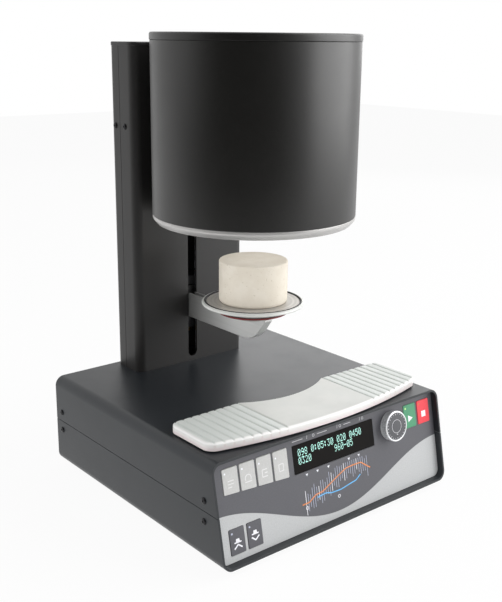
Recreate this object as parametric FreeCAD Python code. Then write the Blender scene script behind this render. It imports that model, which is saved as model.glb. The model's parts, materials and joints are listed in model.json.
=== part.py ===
import FreeCAD, Part
import math
import os

from FreeCAD import Placement, Rotation, Vector

# Dental porcelain furnace with a lowering firing table.
# Millimetres. Z is up, Y runs from the front panel to the rear panel, X to the right seen from
# the front. The origin is on the surface that the feet stand on, midway along and across the base.

# General fits
fit_gap = 0.3              # between pieces that are assembled by hand
running_gap = 0.05         # radial, shafts and bushes
press_gap = 0.02           # radial, bearings and bushes in their seats
thread_gap = 0.1           # radial, screw in its tapped hole

# Base
base_width = 270.0
base_depth = 267.3
base_height = 87.4         # underside of the lower shell to the top of the upper shell
shell_sheet = 2.0
shell_bend = 9.0           # outer bend radius of both shells
seam_height = 44.6         # above the underside of the lower shell
seam_gap = 0.5
foot_height = 5.0
foot_radius = 9.0
foot_inset = 24.0          # foot centre in from the base's sides and ends
foot_recess = 2.8
foot_screw_radius = 2.0
foot_screw_head = 4.0
foot_screw_head_height = 2.4
foot_boss_radius = 4.5
foot_boss_height = 4.0

# Front panel, set back in the front opening and leaning back with it
panel_lean = 11.5          # degrees from upright
panel_recess = 6.0
panel_sheet = 2.0
foil_sheet = 0.4
panel_tab_sheet = 1.5
panel_tab_length = 26.0
board_distance = 9.0       # front of the foil to the front of the control board
board_sheet = 1.6
board_margin = 4.0
board_floor_gap = 1.0
stud_radius = 2.5
stud_tip_radius = 1.4
stud_tip_length = 3.5
stud_inset = 33.0
stud_low = 12.0
stud_high = 44.0

# Keys, in panel coordinates: s across from the middle, q up the slope
key_gap = 0.25
key_proud = 0.6
key_travel = 0.5
key_lip = 0.7              # how far the retaining lip stands out round a key
key_lip_sheet = 1.0
key_corner = 1.0
programme_key_count = 4
programme_key_width = 15.6
programme_key_pitch = 17.7
programme_key_height = 21.0   # at the left end
programme_key_slope = 0.067   # the bottoms follow one falling line
key_side_margin = 11.1        # left keys in from the shell's inner wall
key_top_margin = 7.4          # their tops below the top of the foil
lift_key_width = 15.2
lift_key_pitch = 18.2
lift_key_bottom = 9.2
lift_key_height = 21.5
run_key_width = 16.0
run_key_pitch = 18.8
run_key_height = 22.3
run_key_margin = 6.0          # in from the right inner wall
run_key_top_margin = 7.0
switch_size = 6.0
switch_plunger_radius = 1.5
switch_plunger_length = 1.0

# Display, which fills the room between the keys and the knob
window_key_gap = 6.4
window_knob_gap = 8.7
window_top_margin = 8.4
window_height = 24.8
window_corner = 1.0
display_margin = 3.5
display_glass_margin = 2.0
display_glass = 4.5
display_board = 1.6

# Selector knob
knob_key_gap = 5.1         # knob to the start key
knob_top_margin = 20.6     # knob's centre below the top of the foil
knob_radius = 14.0
knob_height = 8.4          # front of the foil to the knob's rim
knob_clear = 0.4           # knob above the foil
knob_face_radius = 11.4
knob_face_sheet = 0.8
encoder_shaft_radius = 3.0
encoder_bush_radius = 4.2
encoder_bush_top = 1.6
encoder_size = 14.0
encoder_hollow_radius = 5.5

# Inner frame of the base
rail_sheet = 2.5
rail_height = 30.0
rail_front_setback = 0.3

# Case screws
case_screw_radius = 1.5
case_head_radius = 2.9
case_head_height = 1.3
case_screw_length = 9.0
case_screw_rise = 9.1      # above and below the seam
case_screw_front = 17.7    # behind the front lip at the seam
case_screw_rear = 10.5     # in from the rear edge

# Rear panel and its fittings
rear_recess = 5.0
rear_sheet = 1.5
vent_count = 7
vent_width = 3.0
vent_height = 26.0
vent_pitch = 8.0
fitting_gap = 3.0          # between fittings, and from them to the spine
fitting_height = 52.0      # above the underside of the lower shell
inlet_flange = (30.0, 24.0)
inlet_flange_sheet = 1.5
inlet_body = (27.0, 20.5)
inlet_depth = 22.0
inlet_socket = (24.4, 17.0)
inlet_socket_depth = 16.0
inlet_pin = (2.0, 4.0)
inlet_pin_length = 10.0
inlet_pin_spread = 7.0
rocker_width = 11.0
rocker_half_height = 9.0
rocker_rise = 5.0
rocker_dip = 3.9
rocker_root = 4.0
rocker_tilt = 7.0          # degrees either side of the middle
rocker_gap = 1.1
rocker_pivot_inset = 2.6   # pivot in front of the rear panel's outer face
rocker_side_gap = 0.5
rocker_wall = 1.5
rocker_frame_margin = 2.0
rocker_pin_radius = 1.5
rocker_pin_length = 1.3    # out of the rocker's side into its socket
rocker_socket_depth = 1.0
fuse_count = 2
fuse_pitch = 16.0
fuse_radius = 6.0
fuse_cap_radius = 7.0
fuse_cap_length = 3.0
fuse_depth = 22.0
fuse_slot = (9.0, 1.2)
vacuum_body_radius = 7.0
vacuum_collar_radius = 8.5
vacuum_collar_length = 3.2
vacuum_bore_radius = 4.1
vacuum_bore_length = 15.0
vacuum_depth = 20.0

# Boards in the base
main_board_size = (150.0, 88.0)
main_board_inset = 20.0    # in from the left inner wall
main_board_y = -20.0
main_board_height = 8.0    # above the floor of the lower shell
board_post_radius = 3.0
board_post_inset = 5.0
board_blocks = [           # left, front, width, depth and height of each large part on the board
    (10.0, 12.0, 34.0, 12.0, 26.0),
    (12.0, 58.0, 22.0, 18.0, 16.0),
    (108.0, 10.0, 28.0, 20.0, 9.0),
    (61.0, 28.0, 28.0, 28.0, 3.0),
]
board_cans = [(83.0, 70.0, 8.0, 24.0), (105.0, 70.0, 8.0, 24.0)]   # left, front, radius, height
transformer_size = (58.0, 50.0, 46.0)
transformer_inset = 18.0   # in from the right inner wall
transformer_y = -20.0
transformer_plate = 2.0
transformer_foot = 8.0     # foot beyond the core at each end
transformer_winding_inset = 11.0
transformer_core_inset = 7.0
transformer_winding_gap = 6.0

# Column
column_width = 130.0
column_depth = 41.1
column_rear_inset = 0.65   # column's rear face in from the base's rear edge
column_top = 402.1         # above the underside of the lower shell, cap included
column_sheet = 2.0
column_bend = 8.5
rear_cover_depth = 17.7    # seam between the covers to the column's rear face
column_screw_rise = 326.0
column_screw_reach = 8.0   # screws in front of and behind the seam
cap_sheet = 3.5
cap_overhang = 0.5
cap_skirt = 8.0
cap_skirt_sheet = 2.0
slot_width = 10.6
slot_bottom = 91.9         # above the underside of the lower shell
slot_top = 242.0

# Spine, the channel inside the column
spine_sheet = 3.0
spine_rear_gap = 5.2       # to the rear cover's inner face
spine_slot_width = 14.0
spine_slot_beyond = 6.0    # above and below the slot in the cover
spine_top_gap = 4.0
spine_foot_sheet = 3.0

# Guides and drive
rod_radius = 4.0
rod_spread = 26.0
rod_block_width = 76.0
rod_block_height = 12.0
rod_block_depth = 10.0     # behind the rod centres
lower_block_bottom = 67.0
upper_block_bottom = 249.5
bearing_radius = 8.0
bearing_height = 5.0
screw_radius = 4.0
motor_size = 28.0
motor_length = 45.0
motor_corner = 3.0

# Carriage and lift arm
carriage_width = 74.0
carriage_height = 54.0
carriage_behind = 10.0     # behind the rod centres
bush_radius = 7.5
bush_length = 24.0
nut_radius = 5.1
nut_flange_radius = 11.0
nut_flange_sheet = 3.5
nut_length = 15.0
arm_flange_width = 30.0
arm_flange_height = 36.0
arm_flange_sheet = 3.0
arm_flange_gap = 0.6
arm_width = 9.4
arm_bottom = 134.8         # at rest, above the underside of the lower shell
arm_top = 159.2
arm_groove_width = 5.4
arm_groove_depth = 3.5
arm_tip_reach = 24.2       # front end of the arm's top in front of the drum's axis
arm_underside_reach = 5.7  # where the underside would meet the end's slope
arm_tip_radius = 28.0
arm_seat_radius = 21.0
arm_seat_depth = 6.0
arm_screw_radius = 1.9
arm_screw_head = 3.6
arm_screw_length = 10.0
arm_screw_spread = 11.0
arm_screw_rise = 13.0

# Dish and pedestal
dish_radius = 47.6
dish_top = 172.8           # at rest, above the underside of the lower shell
dish_rim_height = 3.2
dish_floor = 2.2           # depth of the dish below its rim
dish_rim_width = 2.3
dish_under_radius = 33.6
dish_under = 7.8           # underside below the rim's top
seal_width = 1.5
seal_proud = 0.4
plate_sheet = 1.6
plate_gap = 0.2
gasket_radius = 33.3
gasket_sheet = 2.6
pedestal_radius = 31.7
pedestal_height = 39.2
pedestal_top_edge = 1.6
pedestal_bottom_edge = 3.0

# Drum
drum_radius = 91.3
drum_gap = 3.9             # drum to the front of the column
drum_sheet = 2.0
drum_bottom = 254.7        # above the underside of the lower shell
drum_top = 404.4
lid_radius = 91.7
lid_height = 6.4
lid_edge = 3.0
lid_sheet = 2.5
lid_rim_width = 14.0
ring_bottom = 247.2
ring_foot_radius = 87.0
ring_bore_radius = 41.5
ring_register = 2.0
lug_depth = 11.0
lug_width = 12.0
lug_height = 9.0
lid_screw_radius = 1.9
lid_screw_head = 3.8
lid_screw_head_height = 1.8
lid_screw_socket_radius = 1.6
lid_screw_socket_depth = 1.2
lid_screw_length = 11.0
insulation_gap = 3.3
insulation_top_gap = 1.0
muffle_bore = 44.5
muffle_wall = 6.0
muffle_bottom = 262.0
muffle_top = 342.0
coil_wire = 1.0
coil_turns = 6
coil_arcs_per_turn = 8
coil_margin = 6.0
thermocouple_offset = 18.0
thermocouple_radius = 2.5
thermocouple_reach = 12.0
thermocouple_head = 5.0
thermocouple_head_height = 3.0

# Drum bracket
bracket_width = 76.0
bracket_bottom = 268.0
bracket_height = 120.0
bracket_screw_spread = 24.0
bracket_screw_rise = 43.0
bracket_screw_radius = 2.4
bracket_head_radius = 4.2
bracket_head_height = 3.0

# Tray
tray_pad_height = 1.0
tray_pad_radius = 5.0
tray_thickness = 8.0
tray_pad_side_inset = 18.0
tray_pad_end_inset = 12.0
tray_side_gap = 13.5       # tray's ends in from the base's sides
tray_lip_gap = 0.5         # middle of the front edge behind the lip of the upper shell
tray_bow = 15.9            # front corners behind the middle of the front edge
tray_end_length = 50.5
tray_hollow = 10.8         # depth of the hollow in the rear edge
tray_waist = 50.5          # half the width of that hollow
tray_corner = 8.0
tray_edge = 2.2
rib_count = 9
rib_margin = 1.1           # outermost rib in from the tray's end
rib_pitch = 7.6
rib_depth = 1.3
rib_stop = 5.0             # ribs end this far behind the front edge

# Levels and places that follow from the sizes above
half_width = base_width / 2
half_depth = base_depth / 2
shell_bottom = foot_height
shell_top = shell_bottom + base_height
seam_z = shell_bottom + seam_height
inner_half = half_width - shell_sheet
floor_z = shell_bottom + shell_sheet
lean_sine = math.sin(math.radians(panel_lean))
lean_cosine = math.cos(math.radians(panel_lean))
panel_back = -(foil_sheet + panel_sheet)
rear_face = half_depth - rear_recess
column_rear = half_depth - column_rear_inset
column_front = column_rear - column_depth
column_seam = column_rear - rear_cover_depth
column_half = column_width / 2
cover_top = shell_bottom + column_top - cap_sheet
spine_half = column_half - column_sheet - fit_gap
spine_front = column_front + column_sheet + fit_gap
spine_back = spine_front + spine_sheet
spine_rear = column_rear - column_sheet - spine_rear_gap
drive_y = spine_back + fit_gap + motor_size / 2
axis_y = column_front - drum_gap - drum_radius      # common axis of drum, dish and pedestal
dish_top_z = shell_bottom + dish_top
dish_floor_z = dish_top_z - dish_floor
gasket_bottom_z = dish_top_z - dish_under - gasket_sheet
carriage_front = spine_back + arm_flange_gap + arm_flange_sheet
carriage_rear = drive_y + carriage_behind
arm_middle_z = shell_bottom + (arm_bottom + arm_top) / 2
carriage_bottom = arm_middle_z - carriage_height / 2
tray_bottom_z = shell_top + tray_pad_height
tray_top_z = tray_bottom_z + tray_thickness
lip_y_at_seam = -half_depth + seam_height * lean_sine / lean_cosine
lip_y_at_top = -half_depth + base_height * lean_sine / lean_cosine
foil_top = (base_height - shell_sheet - fit_gap + panel_recess * lean_sine) / lean_cosine
left_keys = -inner_half + key_side_margin
programme_key_top = foil_top - key_top_margin
programme_key_bottom = programme_key_top - programme_key_height
run_key_first = inner_half - run_key_margin - run_key_width - run_key_pitch
run_key_bottom = foil_top - run_key_top_margin - run_key_height
knob_s = run_key_first - knob_key_gap - knob_radius
knob_q = foil_top - knob_top_margin
last_programme_key = left_keys + (programme_key_count - 1) * programme_key_pitch
window_left = last_programme_key + programme_key_width + window_key_gap
window_width = knob_s - knob_radius - window_knob_gap - window_left
window_bottom = foil_top - window_top_margin - window_height
fitting_z = shell_bottom + fitting_height
rocker_sweep = math.hypot(rocker_half_height, rocker_rise)
rocker_hole = (rocker_width + 2 * rocker_side_gap, 2 * (rocker_sweep + fit_gap))
rocker_box = (rocker_hole[0] + 2 * rocker_wall, rocker_hole[1] + 2 * rocker_wall)
rocker_frame_width = rocker_box[0] + 2 * rocker_frame_margin
rocker_box_depth = rocker_pivot_inset + math.hypot(rocker_half_height / 2, rocker_root) + rocker_gap + 1
rocker_x = spine_half + fitting_gap + rocker_frame_width / 2
inlet_x = rocker_x + rocker_frame_width / 2 + fitting_gap + inlet_flange[0] / 2
fuse_x = [-spine_half - fitting_gap - fuse_cap_radius - index * fuse_pitch for index in range(fuse_count)]
vacuum_x = fuse_x[-1] - fuse_cap_radius - fitting_gap - vacuum_collar_radius
tray_half_width = half_width - tray_side_gap
tray_middle_front = lip_y_at_top + tray_lip_gap
tray_side_front = tray_middle_front + tray_bow
tray_rear = tray_side_front + tray_end_length
tray_middle_rear = tray_rear - tray_hollow
rib_first = tray_half_width - rib_margin - rib_count * rib_pitch


def outline(corners):
    """Closed face in the XY plane from corners (x, y, radius), each rounded by its radius."""
    points = [Vector(x, y, 0) for x, y, radius in corners]
    starts = []
    ends = []
    middles = []
    for index, (x, y, radius) in enumerate(corners):
        corner = points[index]
        before = (points[index - 1] - corner).normalize()
        after = (points[(index + 1) % len(points)] - corner).normalize()
        if radius <= 0:
            starts.append(corner)
            ends.append(corner)
            middles.append(None)
            continue
        half_turn = before.getAngle(after) / 2
        tangent = radius / math.tan(half_turn)
        inward = (before + after).normalize()
        centre = corner + inward * (radius / math.sin(half_turn))
        starts.append(corner + before * tangent)
        ends.append(corner + after * tangent)
        middles.append(centre - inward * radius)
    edges = []
    for index in range(len(points)):
        if middles[index] is not None:
            edges.append(Part.Arc(starts[index], middles[index], ends[index]).toShape())
        following = starts[(index + 1) % len(points)]
        if (following - ends[index]).Length > 1e-6:
            edges.append(Part.makeLine(ends[index], following))
    return Part.Face(Part.Wire(edges))


def rectangle(left, bottom, right, top, radius=0.0):
    corners = [(left, bottom), (right, bottom), (right, top), (left, top)]
    return outline([(x, y, radius) for x, y in corners])


def centred(width, height, radius=0.0):
    return rectangle(-width / 2, -height / 2, width / 2, height / 2, radius)


def raised(face, low, high):
    """Prism of a face in the XY plane between two heights."""
    solid = face.extrude(Vector(0, 0, high - low))
    solid.translate(Vector(0, 0, low))
    return solid


def run_back(face, front, rear):
    """Prism of a face drawn as (x, z) between two distances along Y."""
    solid = face.extrude(Vector(0, 0, rear - front))
    solid.Placement = Placement(Vector(0, rear, 0), Rotation(Vector(1, 0, 0), 90))
    return solid


def side_plate(face, left, right):
    """Prism of a face drawn as (y, z) between two distances along X."""
    solid = face.extrude(Vector(0, 0, right - left))
    turn = Rotation(Vector(0, 1, 0), Vector(0, 0, 1), Vector(1, 0, 0), "XYZ")
    solid.Placement = Placement(Vector(left, 0, 0), turn)
    return solid


def turned(corners, x=0.0, y=0.0):
    """Solid of revolution about an upright axis from corners (radius, height, rounding)."""
    face = outline(corners)
    face.Placement = Placement(Vector(0, 0, 0), Rotation(Vector(1, 0, 0), 90))
    solid = face.revolve(Vector(0, 0, 0), Vector(0, 0, 1), 360)
    solid.translate(Vector(x, y, 0))
    return solid


def cylinder(radius, low, high, x=0.0, y=0.0):
    return Part.makeCylinder(radius, high - low, Vector(x, y, low))


def cylinder_y(radius, front, rear, x, z):
    return Part.makeCylinder(radius, rear - front, Vector(x, front, z), Vector(0, 1, 0))


def cylinder_x(radius, start, length, y, z, direction):
    return Part.makeCylinder(radius, length, Vector(start, y, z), Vector(direction, 0, 0))


def block(left, front, low, right, rear, high):
    return Part.makeBox(right - left, rear - front, high - low, Vector(left, front, low))


def on_panel(shape, s=0.0, q=0.0):
    """Places a shape drawn with X across, Y up the slope and Z out of the front panel."""
    origin = Vector(
        s,
        -half_depth + panel_recess * lean_cosine + q * lean_sine,
        shell_bottom - panel_recess * lean_sine + q * lean_cosine,
    )
    place = Placement(origin, Rotation(Vector(1, 0, 0), 90 - panel_lean))
    shape.Placement = place.multiply(shape.Placement)
    return shape


def together(solids):
    return Part.makeCompound(solids)


def fused(solids):
    return solids[0].fuse(solids[1:]).removeSplitter()


def save(name, shape):
    shape.exportStep("parts/" + name + ".step")


def round_edges(shape, radius, wanted):
    """Rounds the edges for which wanted(edge) is true."""
    return shape.makeFillet(radius, [edge for edge in shape.Edges if wanted(edge)])


# Keys and openings of the front panel

def programme_key_box(index):
    left = left_keys + index * programme_key_pitch
    return left, left + programme_key_width


def key_corners(left, right, low_left, low_right, top, grow):
    return [
        (left - grow, low_left - grow, key_corner),
        (right + grow, low_right - grow, key_corner),
        (right + grow, top + grow, key_corner),
        (left - grow, top + grow, key_corner),
    ]


def key_layout():
    """Name and corner values of every key: left, right, bottom left, bottom right, top."""
    keys = []
    for index in range(programme_key_count):
        left, right = programme_key_box(index)
        low_left = programme_key_bottom - (left - left_keys) * programme_key_slope
        low_right = low_left - programme_key_width * programme_key_slope
        keys.append((f"programme_key_{index + 1}", (left, right, low_left, low_right, programme_key_top)))
    for index, name in enumerate(["lift_up_key", "lift_down_key"]):
        left = left_keys + index * lift_key_pitch
        top = lift_key_bottom + lift_key_height
        keys.append((name, (left, left + lift_key_width, lift_key_bottom, lift_key_bottom, top)))
    for index, name in enumerate(["start_key", "stop_key"]):
        left = run_key_first + index * run_key_pitch
        top = run_key_bottom + run_key_height
        keys.append((name, (left, left + run_key_width, run_key_bottom, run_key_bottom, top)))
    return keys


def key_cap(corners):
    front = raised(outline(key_corners(*corners, 0.0)), panel_back - fit_gap, key_proud)
    front = round_edges(front, key_proud / 2, lambda edge: edge.BoundBox.ZMin > key_proud - 0.01)
    lip_top = panel_back - fit_gap
    lip = raised(outline(key_corners(*corners, key_lip)), lip_top - key_lip_sheet, lip_top)
    return on_panel(fused([front, lip]))


def window_face(grow):
    return rectangle(
        window_left - grow,
        window_bottom - grow,
        window_left + window_width + grow,
        window_bottom + window_height + grow,
        window_corner,
    )


def panel_openings(low, high, knob_hole):
    """Cutters for everything that comes through the panel or the foil."""
    cutters = [raised(outline(key_corners(*corners, key_gap)), low, high) for name, corners in key_layout()]
    cutters.append(raised(window_face(fit_gap), low, high))
    cutters.append(cylinder(knob_hole, low, high, knob_s, knob_q))
    return cutters


def panel_low(depth_behind):
    """Where a plate that ends this far behind the front of the foil clears the lower shell's floor."""
    return (shell_sheet + fit_gap + (panel_recess + depth_behind) * lean_sine) / lean_cosine


def panel_outline(depth_behind):
    """Outline of the opening in the shells at the panel, seen square to the panel."""
    low = panel_low(depth_behind)
    reach = inner_half - fit_gap
    return rectangle(-reach, low, reach, foil_top, shell_bend - shell_sheet - fit_gap)


def behind_panel(distance):
    """Everything behind the plane that lies this far behind the front of the foil."""
    plane = rectangle(-base_width, -base_height, base_width, 3 * base_height)
    return on_panel(raised(plane, -2 * base_depth, -distance))


# Base

def shell_tube():
    outer = run_back(
        rectangle(-half_width, shell_bottom, half_width, shell_top, shell_bend), -half_depth, half_depth
    )
    inner = run_back(
        rectangle(-inner_half, floor_z, inner_half, shell_top - shell_sheet, shell_bend - shell_sheet),
        -half_depth - 1,
        half_depth + 1,
    )
    return outer.cut(inner).common(behind_panel(-panel_recess))


def case_screw_places():
    """Side screws of the base as (side, y, z), two rows either side of the seam."""
    front = lip_y_at_seam + case_screw_front
    rear = half_depth - case_screw_rear
    rows = [seam_z - case_screw_rise, seam_z + case_screw_rise]
    return [(side, y, z) for side in (-1, 1) for y in (front, rear) for z in rows]


def column_screw_places():
    places = [column_seam - column_screw_reach, column_seam + column_screw_reach]
    return [(side, y, shell_bottom + column_screw_rise) for side in (-1, 1) for y in places]


def side_holes(places, face, radius, depth):
    """Bores square to the sides, from outside the given face inwards."""
    return [cylinder_x(radius, side * (face + 1), depth + 1, y, z, -side) for side, y, z in places]


def foot_places():
    reach_x = half_width - foot_inset
    reach_y = half_depth - foot_inset
    return [(x, y) for x in (-reach_x, reach_x) for y in (-reach_y, reach_y)]


def lower_shell():
    shell = shell_tube()
    room = block(-half_width - 1, -half_depth - 1, 0, half_width + 1, half_depth + 1, seam_z - seam_gap / 2)
    shell = shell.common(room)
    bosses = [
        cylinder(foot_boss_radius, floor_z - shell_sheet / 2, floor_z + foot_boss_height, x, y)
        for x, y in foot_places()
    ]
    shell = fused([shell] + bosses)
    cutters = [
        cylinder(foot_screw_radius + thread_gap, 0, floor_z + foot_boss_height + 1, x, y)
        for x, y in foot_places()
    ]
    cutters += side_holes(case_screw_places(), half_width, case_screw_radius + fit_gap, shell_sheet + 1)
    return shell.cut(cutters)


def spine_passage(gap):
    reach = spine_half + gap
    bend = column_bend - column_sheet
    return outline([
        (-reach, spine_front - gap, bend),
        (reach, spine_front - gap, bend),
        (reach, spine_rear + gap, 0),
        (-reach, spine_rear + gap, 0),
    ])


def upper_shell():
    shell = shell_tube()
    room = block(
        -half_width - 1, -half_depth - 1, seam_z + seam_gap / 2, half_width + 1, half_depth + 1, shell_top + 1
    )
    shell = shell.common(room)
    cutters = [raised(spine_passage(fit_gap), shell_top - shell_sheet - 1, shell_top + 1)]
    cutters += side_holes(case_screw_places(), half_width, case_screw_radius + fit_gap, shell_sheet + 1)
    return shell.cut(cutters)


def feet():
    made = []
    for x, y in foot_places():
        made.append(turned([
            (foot_screw_radius + fit_gap, foot_recess, 0),
            (foot_screw_head + fit_gap, foot_recess, 0),
            (foot_screw_head + fit_gap, 0, 0),
            (foot_radius - 1, 0, 0.8),
            (foot_radius, shell_bottom, 0),
            (foot_screw_radius + fit_gap, shell_bottom, 0),
        ], x, y))
    return together(made)


def foot_screws():
    made = []
    for x, y in foot_places():
        top = floor_z + foot_boss_height
        made.append(turned([
            (0, foot_recess - foot_screw_head_height, 0),
            (foot_screw_head, foot_recess - foot_screw_head_height, 0.6),
            (foot_screw_head, foot_recess, 0),
            (foot_screw_radius, foot_recess, 0),
            (foot_screw_radius, top, 0),
            (0, top, 0),
        ], x, y))
    return together(made)


def case_screws():
    made = []
    for places, face in ((case_screw_places(), half_width), (column_screw_places(), column_half)):
        for side, y, z in places:
            head = cylinder_x(case_head_radius, side * face, case_head_height, y, z, side)
            head = round_edges(head, 0.6, lambda edge: abs(edge.BoundBox.XMin) > face + 1
                               and edge.BoundBox.XLength < 0.01)
            shank = cylinder_x(case_screw_radius, side * face, case_screw_length, y, z, -side)
            made.append(fused([head, shank]))
    return together(made)


def side_rails():
    made = []
    low = seam_z - rail_height / 2
    high = seam_z + rail_height / 2
    for side in (-1, 1):
        edges = sorted([side * inner_half, side * (inner_half - rail_sheet)])
        rail = block(edges[0], -half_depth, low, edges[1], half_depth - 3, high)
        rail = rail.common(behind_panel(-panel_back + rail_front_setback))
        places = [place for place in case_screw_places() if place[0] == side]
        made.append(rail.cut(side_holes(places, inner_half, case_screw_radius + thread_gap, rail_sheet + 1)))
    return together(made)


def stud_places():
    reach = inner_half - stud_inset
    return [(-reach, stud_high), (reach, stud_high), (0.0, stud_low), (reach, stud_low)]


def front_panel():
    plate = on_panel(raised(panel_outline(-panel_back), panel_back, -foil_sheet))
    openings = panel_openings(panel_back - 1, 1, encoder_bush_radius + fit_gap)
    plate = plate.cut([on_panel(opening) for opening in openings])
    pieces = [plate]
    for s, q in stud_places():
        stud = cylinder(stud_radius, -board_distance, panel_back)
        tip_end = -board_distance - board_sheet - stud_tip_length
        tip = cylinder(stud_tip_radius, tip_end, -board_distance)
        pieces.append(on_panel(stud.fuse(tip), s, q))
    outer = inner_half - rail_sheet
    low = seam_z - rail_height / 2 + 3
    high = seam_z + rail_height / 2 - 3
    for side in (-1, 1):
        edges = sorted([side * outer, side * (outer - panel_tab_sheet)])
        tab = block(edges[0], -half_depth, low, edges[1], lip_y_at_seam + panel_tab_length, high)
        tab = tab.common(behind_panel(foil_sheet))
        places = [place for place in case_screw_places() if place[0] == side]
        holes = side_holes(places, outer, case_screw_radius + thread_gap, panel_tab_sheet + 1)
        pieces.append(tab.cut(holes))
    return fused(pieces)


def keypad_foil():
    sheet = raised(panel_outline(foil_sheet), -foil_sheet, 0)
    return on_panel(sheet.cut(panel_openings(-foil_sheet - 1, 1, encoder_bush_radius + fit_gap)))


def display_window():
    return on_panel(raised(window_face(0.0), panel_back, 0))


def display_module():
    glass = raised(window_face(display_glass_margin), panel_back - display_glass, panel_back)
    board_top = panel_back - display_glass
    board = raised(window_face(display_margin), board_top - display_board, board_top)
    return on_panel(fused([glass, board]))


def control_board():
    """Board with its soldered key switches and the body of the rotary encoder."""
    reach = half_width - case_screw_length - board_margin
    low = panel_low(board_distance + board_sheet) + board_floor_gap
    face = rectangle(-reach, low, reach, foil_top - board_margin, 2.0)
    pieces = [raised(face, -board_distance - board_sheet, -board_distance)]
    plunger_top = panel_back - fit_gap - key_lip_sheet - key_travel - fit_gap
    for name, (left, right, low_left, low_right, top) in key_layout():
        s = (left + right) / 2
        q = (low_left + top) / 2
        body = raised(centred(switch_size, switch_size), -board_distance, plunger_top - switch_plunger_length)
        plunger = cylinder(switch_plunger_radius, plunger_top - switch_plunger_length, plunger_top)
        switch = body.fuse(plunger)
        switch.translate(Vector(s, q, 0))
        pieces.append(switch)
    encoder = raised(centred(encoder_size, encoder_size, 1.0), -board_distance, panel_back - fit_gap)
    bush = cylinder(encoder_bush_radius, panel_back - fit_gap, encoder_bush_top)
    encoder = encoder.fuse(bush)
    encoder.translate(Vector(knob_s, knob_q, 0))
    pieces.append(encoder)
    board = fused(pieces)
    cutters = [
        cylinder(encoder_shaft_radius + running_gap, -board_distance, encoder_bush_top + 1, knob_s, knob_q)
    ]
    for s, q in stud_places():
        cutters.append(cylinder(stud_tip_radius + thread_gap, -board_distance - board_sheet - 1, 0, s, q))
    return on_panel(board.cut(cutters))


def encoder_shaft():
    low = -board_distance + fit_gap
    high = knob_height - knob_face_sheet - 1.5
    return on_panel(cylinder(encoder_shaft_radius, low, high), knob_s, knob_q)


def selector_knob():
    rim = knob_height
    seat = knob_height - knob_face_sheet
    bore_top = seat - 1.5
    hollow_top = encoder_bush_top + 1.0
    shaft = encoder_shaft_radius + press_gap
    knob = turned([
        (encoder_hollow_radius, knob_clear, 0),
        (knob_radius - 0.6, knob_clear, 0.5),
        (knob_radius - 0.2, rim - 2.2, 0),
        (knob_radius, rim - 1.8, 0),
        (knob_radius, rim, 0.9),
        (knob_face_radius, rim, 0.3),
        (knob_face_radius, seat, 0),
        (0, seat, 0),
        (0, bore_top, 0),
        (shaft, bore_top, 0),
        (shaft, hollow_top, 0),
        (encoder_hollow_radius, hollow_top, 0),
    ])
    return on_panel(knob, knob_s, knob_q)


def knob_face():
    top = knob_height - 0.15
    return on_panel(cylinder(knob_face_radius - 0.1, knob_height - knob_face_sheet, top), knob_s, knob_q)


def rear_panel():
    reach = inner_half - fit_gap
    high = shell_top - shell_sheet - fit_gap
    plate_face = rectangle(-reach, floor_z + fit_gap, reach, high, shell_bend - shell_sheet - fit_gap)
    plate = run_back(plate_face, rear_face - rear_sheet, rear_face)
    cutters = []
    for side in (-1, 1):
        edges = sorted([side * (inner_half + 1), side * (inner_half - rail_sheet)])
        cutters.append(block(
            edges[0], rear_face - rear_sheet - 1, seam_z - rail_height / 2 - fit_gap,
            edges[1], rear_face + 1, seam_z + rail_height / 2 + fit_gap,
        ))
    inlet_face = centred(inlet_body[0] + 2 * fit_gap, inlet_body[1] + 2 * fit_gap, 2.0)
    inlet_cut = run_back(inlet_face, rear_face - rear_sheet - 1, rear_face + 1)
    inlet_cut.translate(Vector(inlet_x, 0, fitting_z))
    cutters.append(inlet_cut)
    rocker_face = centred(rocker_box[0] + 2 * fit_gap, rocker_box[1] + 2 * fit_gap, 1.0)
    rocker_cut = run_back(rocker_face, rear_face - rear_sheet - 1, rear_face + 1)
    rocker_cut.translate(Vector(rocker_x, 0, fitting_z))
    cutters.append(rocker_cut)
    for x in fuse_x:
        radius = fuse_radius + fit_gap
        cutters.append(cylinder_y(radius, rear_face - rear_sheet - 1, rear_face + 1, x, fitting_z))
    radius = vacuum_body_radius + fit_gap
    cutters.append(cylinder_y(radius, rear_face - rear_sheet - 1, rear_face + 1, vacuum_x, fitting_z))
    first = -(vent_count - 1) * vent_pitch / 2
    for index in range(vent_count):
        x = first + index * vent_pitch
        vent_face = centred(vent_width, vent_height, vent_width / 2 - 0.01)
        vent = run_back(vent_face, rear_face - rear_sheet - 1, rear_face + 1)
        vent.translate(Vector(x, 0, seam_z))
        cutters.append(vent)
    plate = plate.cut(cutters)
    pieces = [plate]
    outer = inner_half - rail_sheet
    for side in (-1, 1):
        edges = sorted([side * outer, side * (outer - panel_tab_sheet)])
        tab = block(
            edges[0], rear_face - case_screw_rear - 6, seam_z - rail_height / 2 + 3,
            edges[1], rear_face, seam_z + rail_height / 2 - 3,
        )
        places = [place for place in case_screw_places() if place[0] == side]
        pieces.append(tab.cut(side_holes(places, outer, case_screw_radius + thread_gap, panel_tab_sheet + 1)))
    return fused(pieces)


def power_switch():
    half = rocker_half_height
    face = outline([
        (-rocker_root, -half / 2, 0.5),
        (rocker_rise, -half, 0.5),
        (rocker_dip, 0, 0),
        (rocker_rise, half, 0.5),
        (-rocker_root, half / 2, 0.5),
    ])
    rocker = side_plate(face, -rocker_width / 2, rocker_width / 2)
    rocker.rotate(Vector(0, 0, 0), Vector(1, 0, 0), rocker_tilt)
    pin_half = rocker_width / 2 + rocker_pin_length
    rocker = rocker.fuse(cylinder_x(rocker_pin_radius, -pin_half, 2 * pin_half, 0, 0, 1))
    rocker.translate(Vector(rocker_x, rear_face - rocker_pivot_inset, fitting_z))
    return rocker


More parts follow.
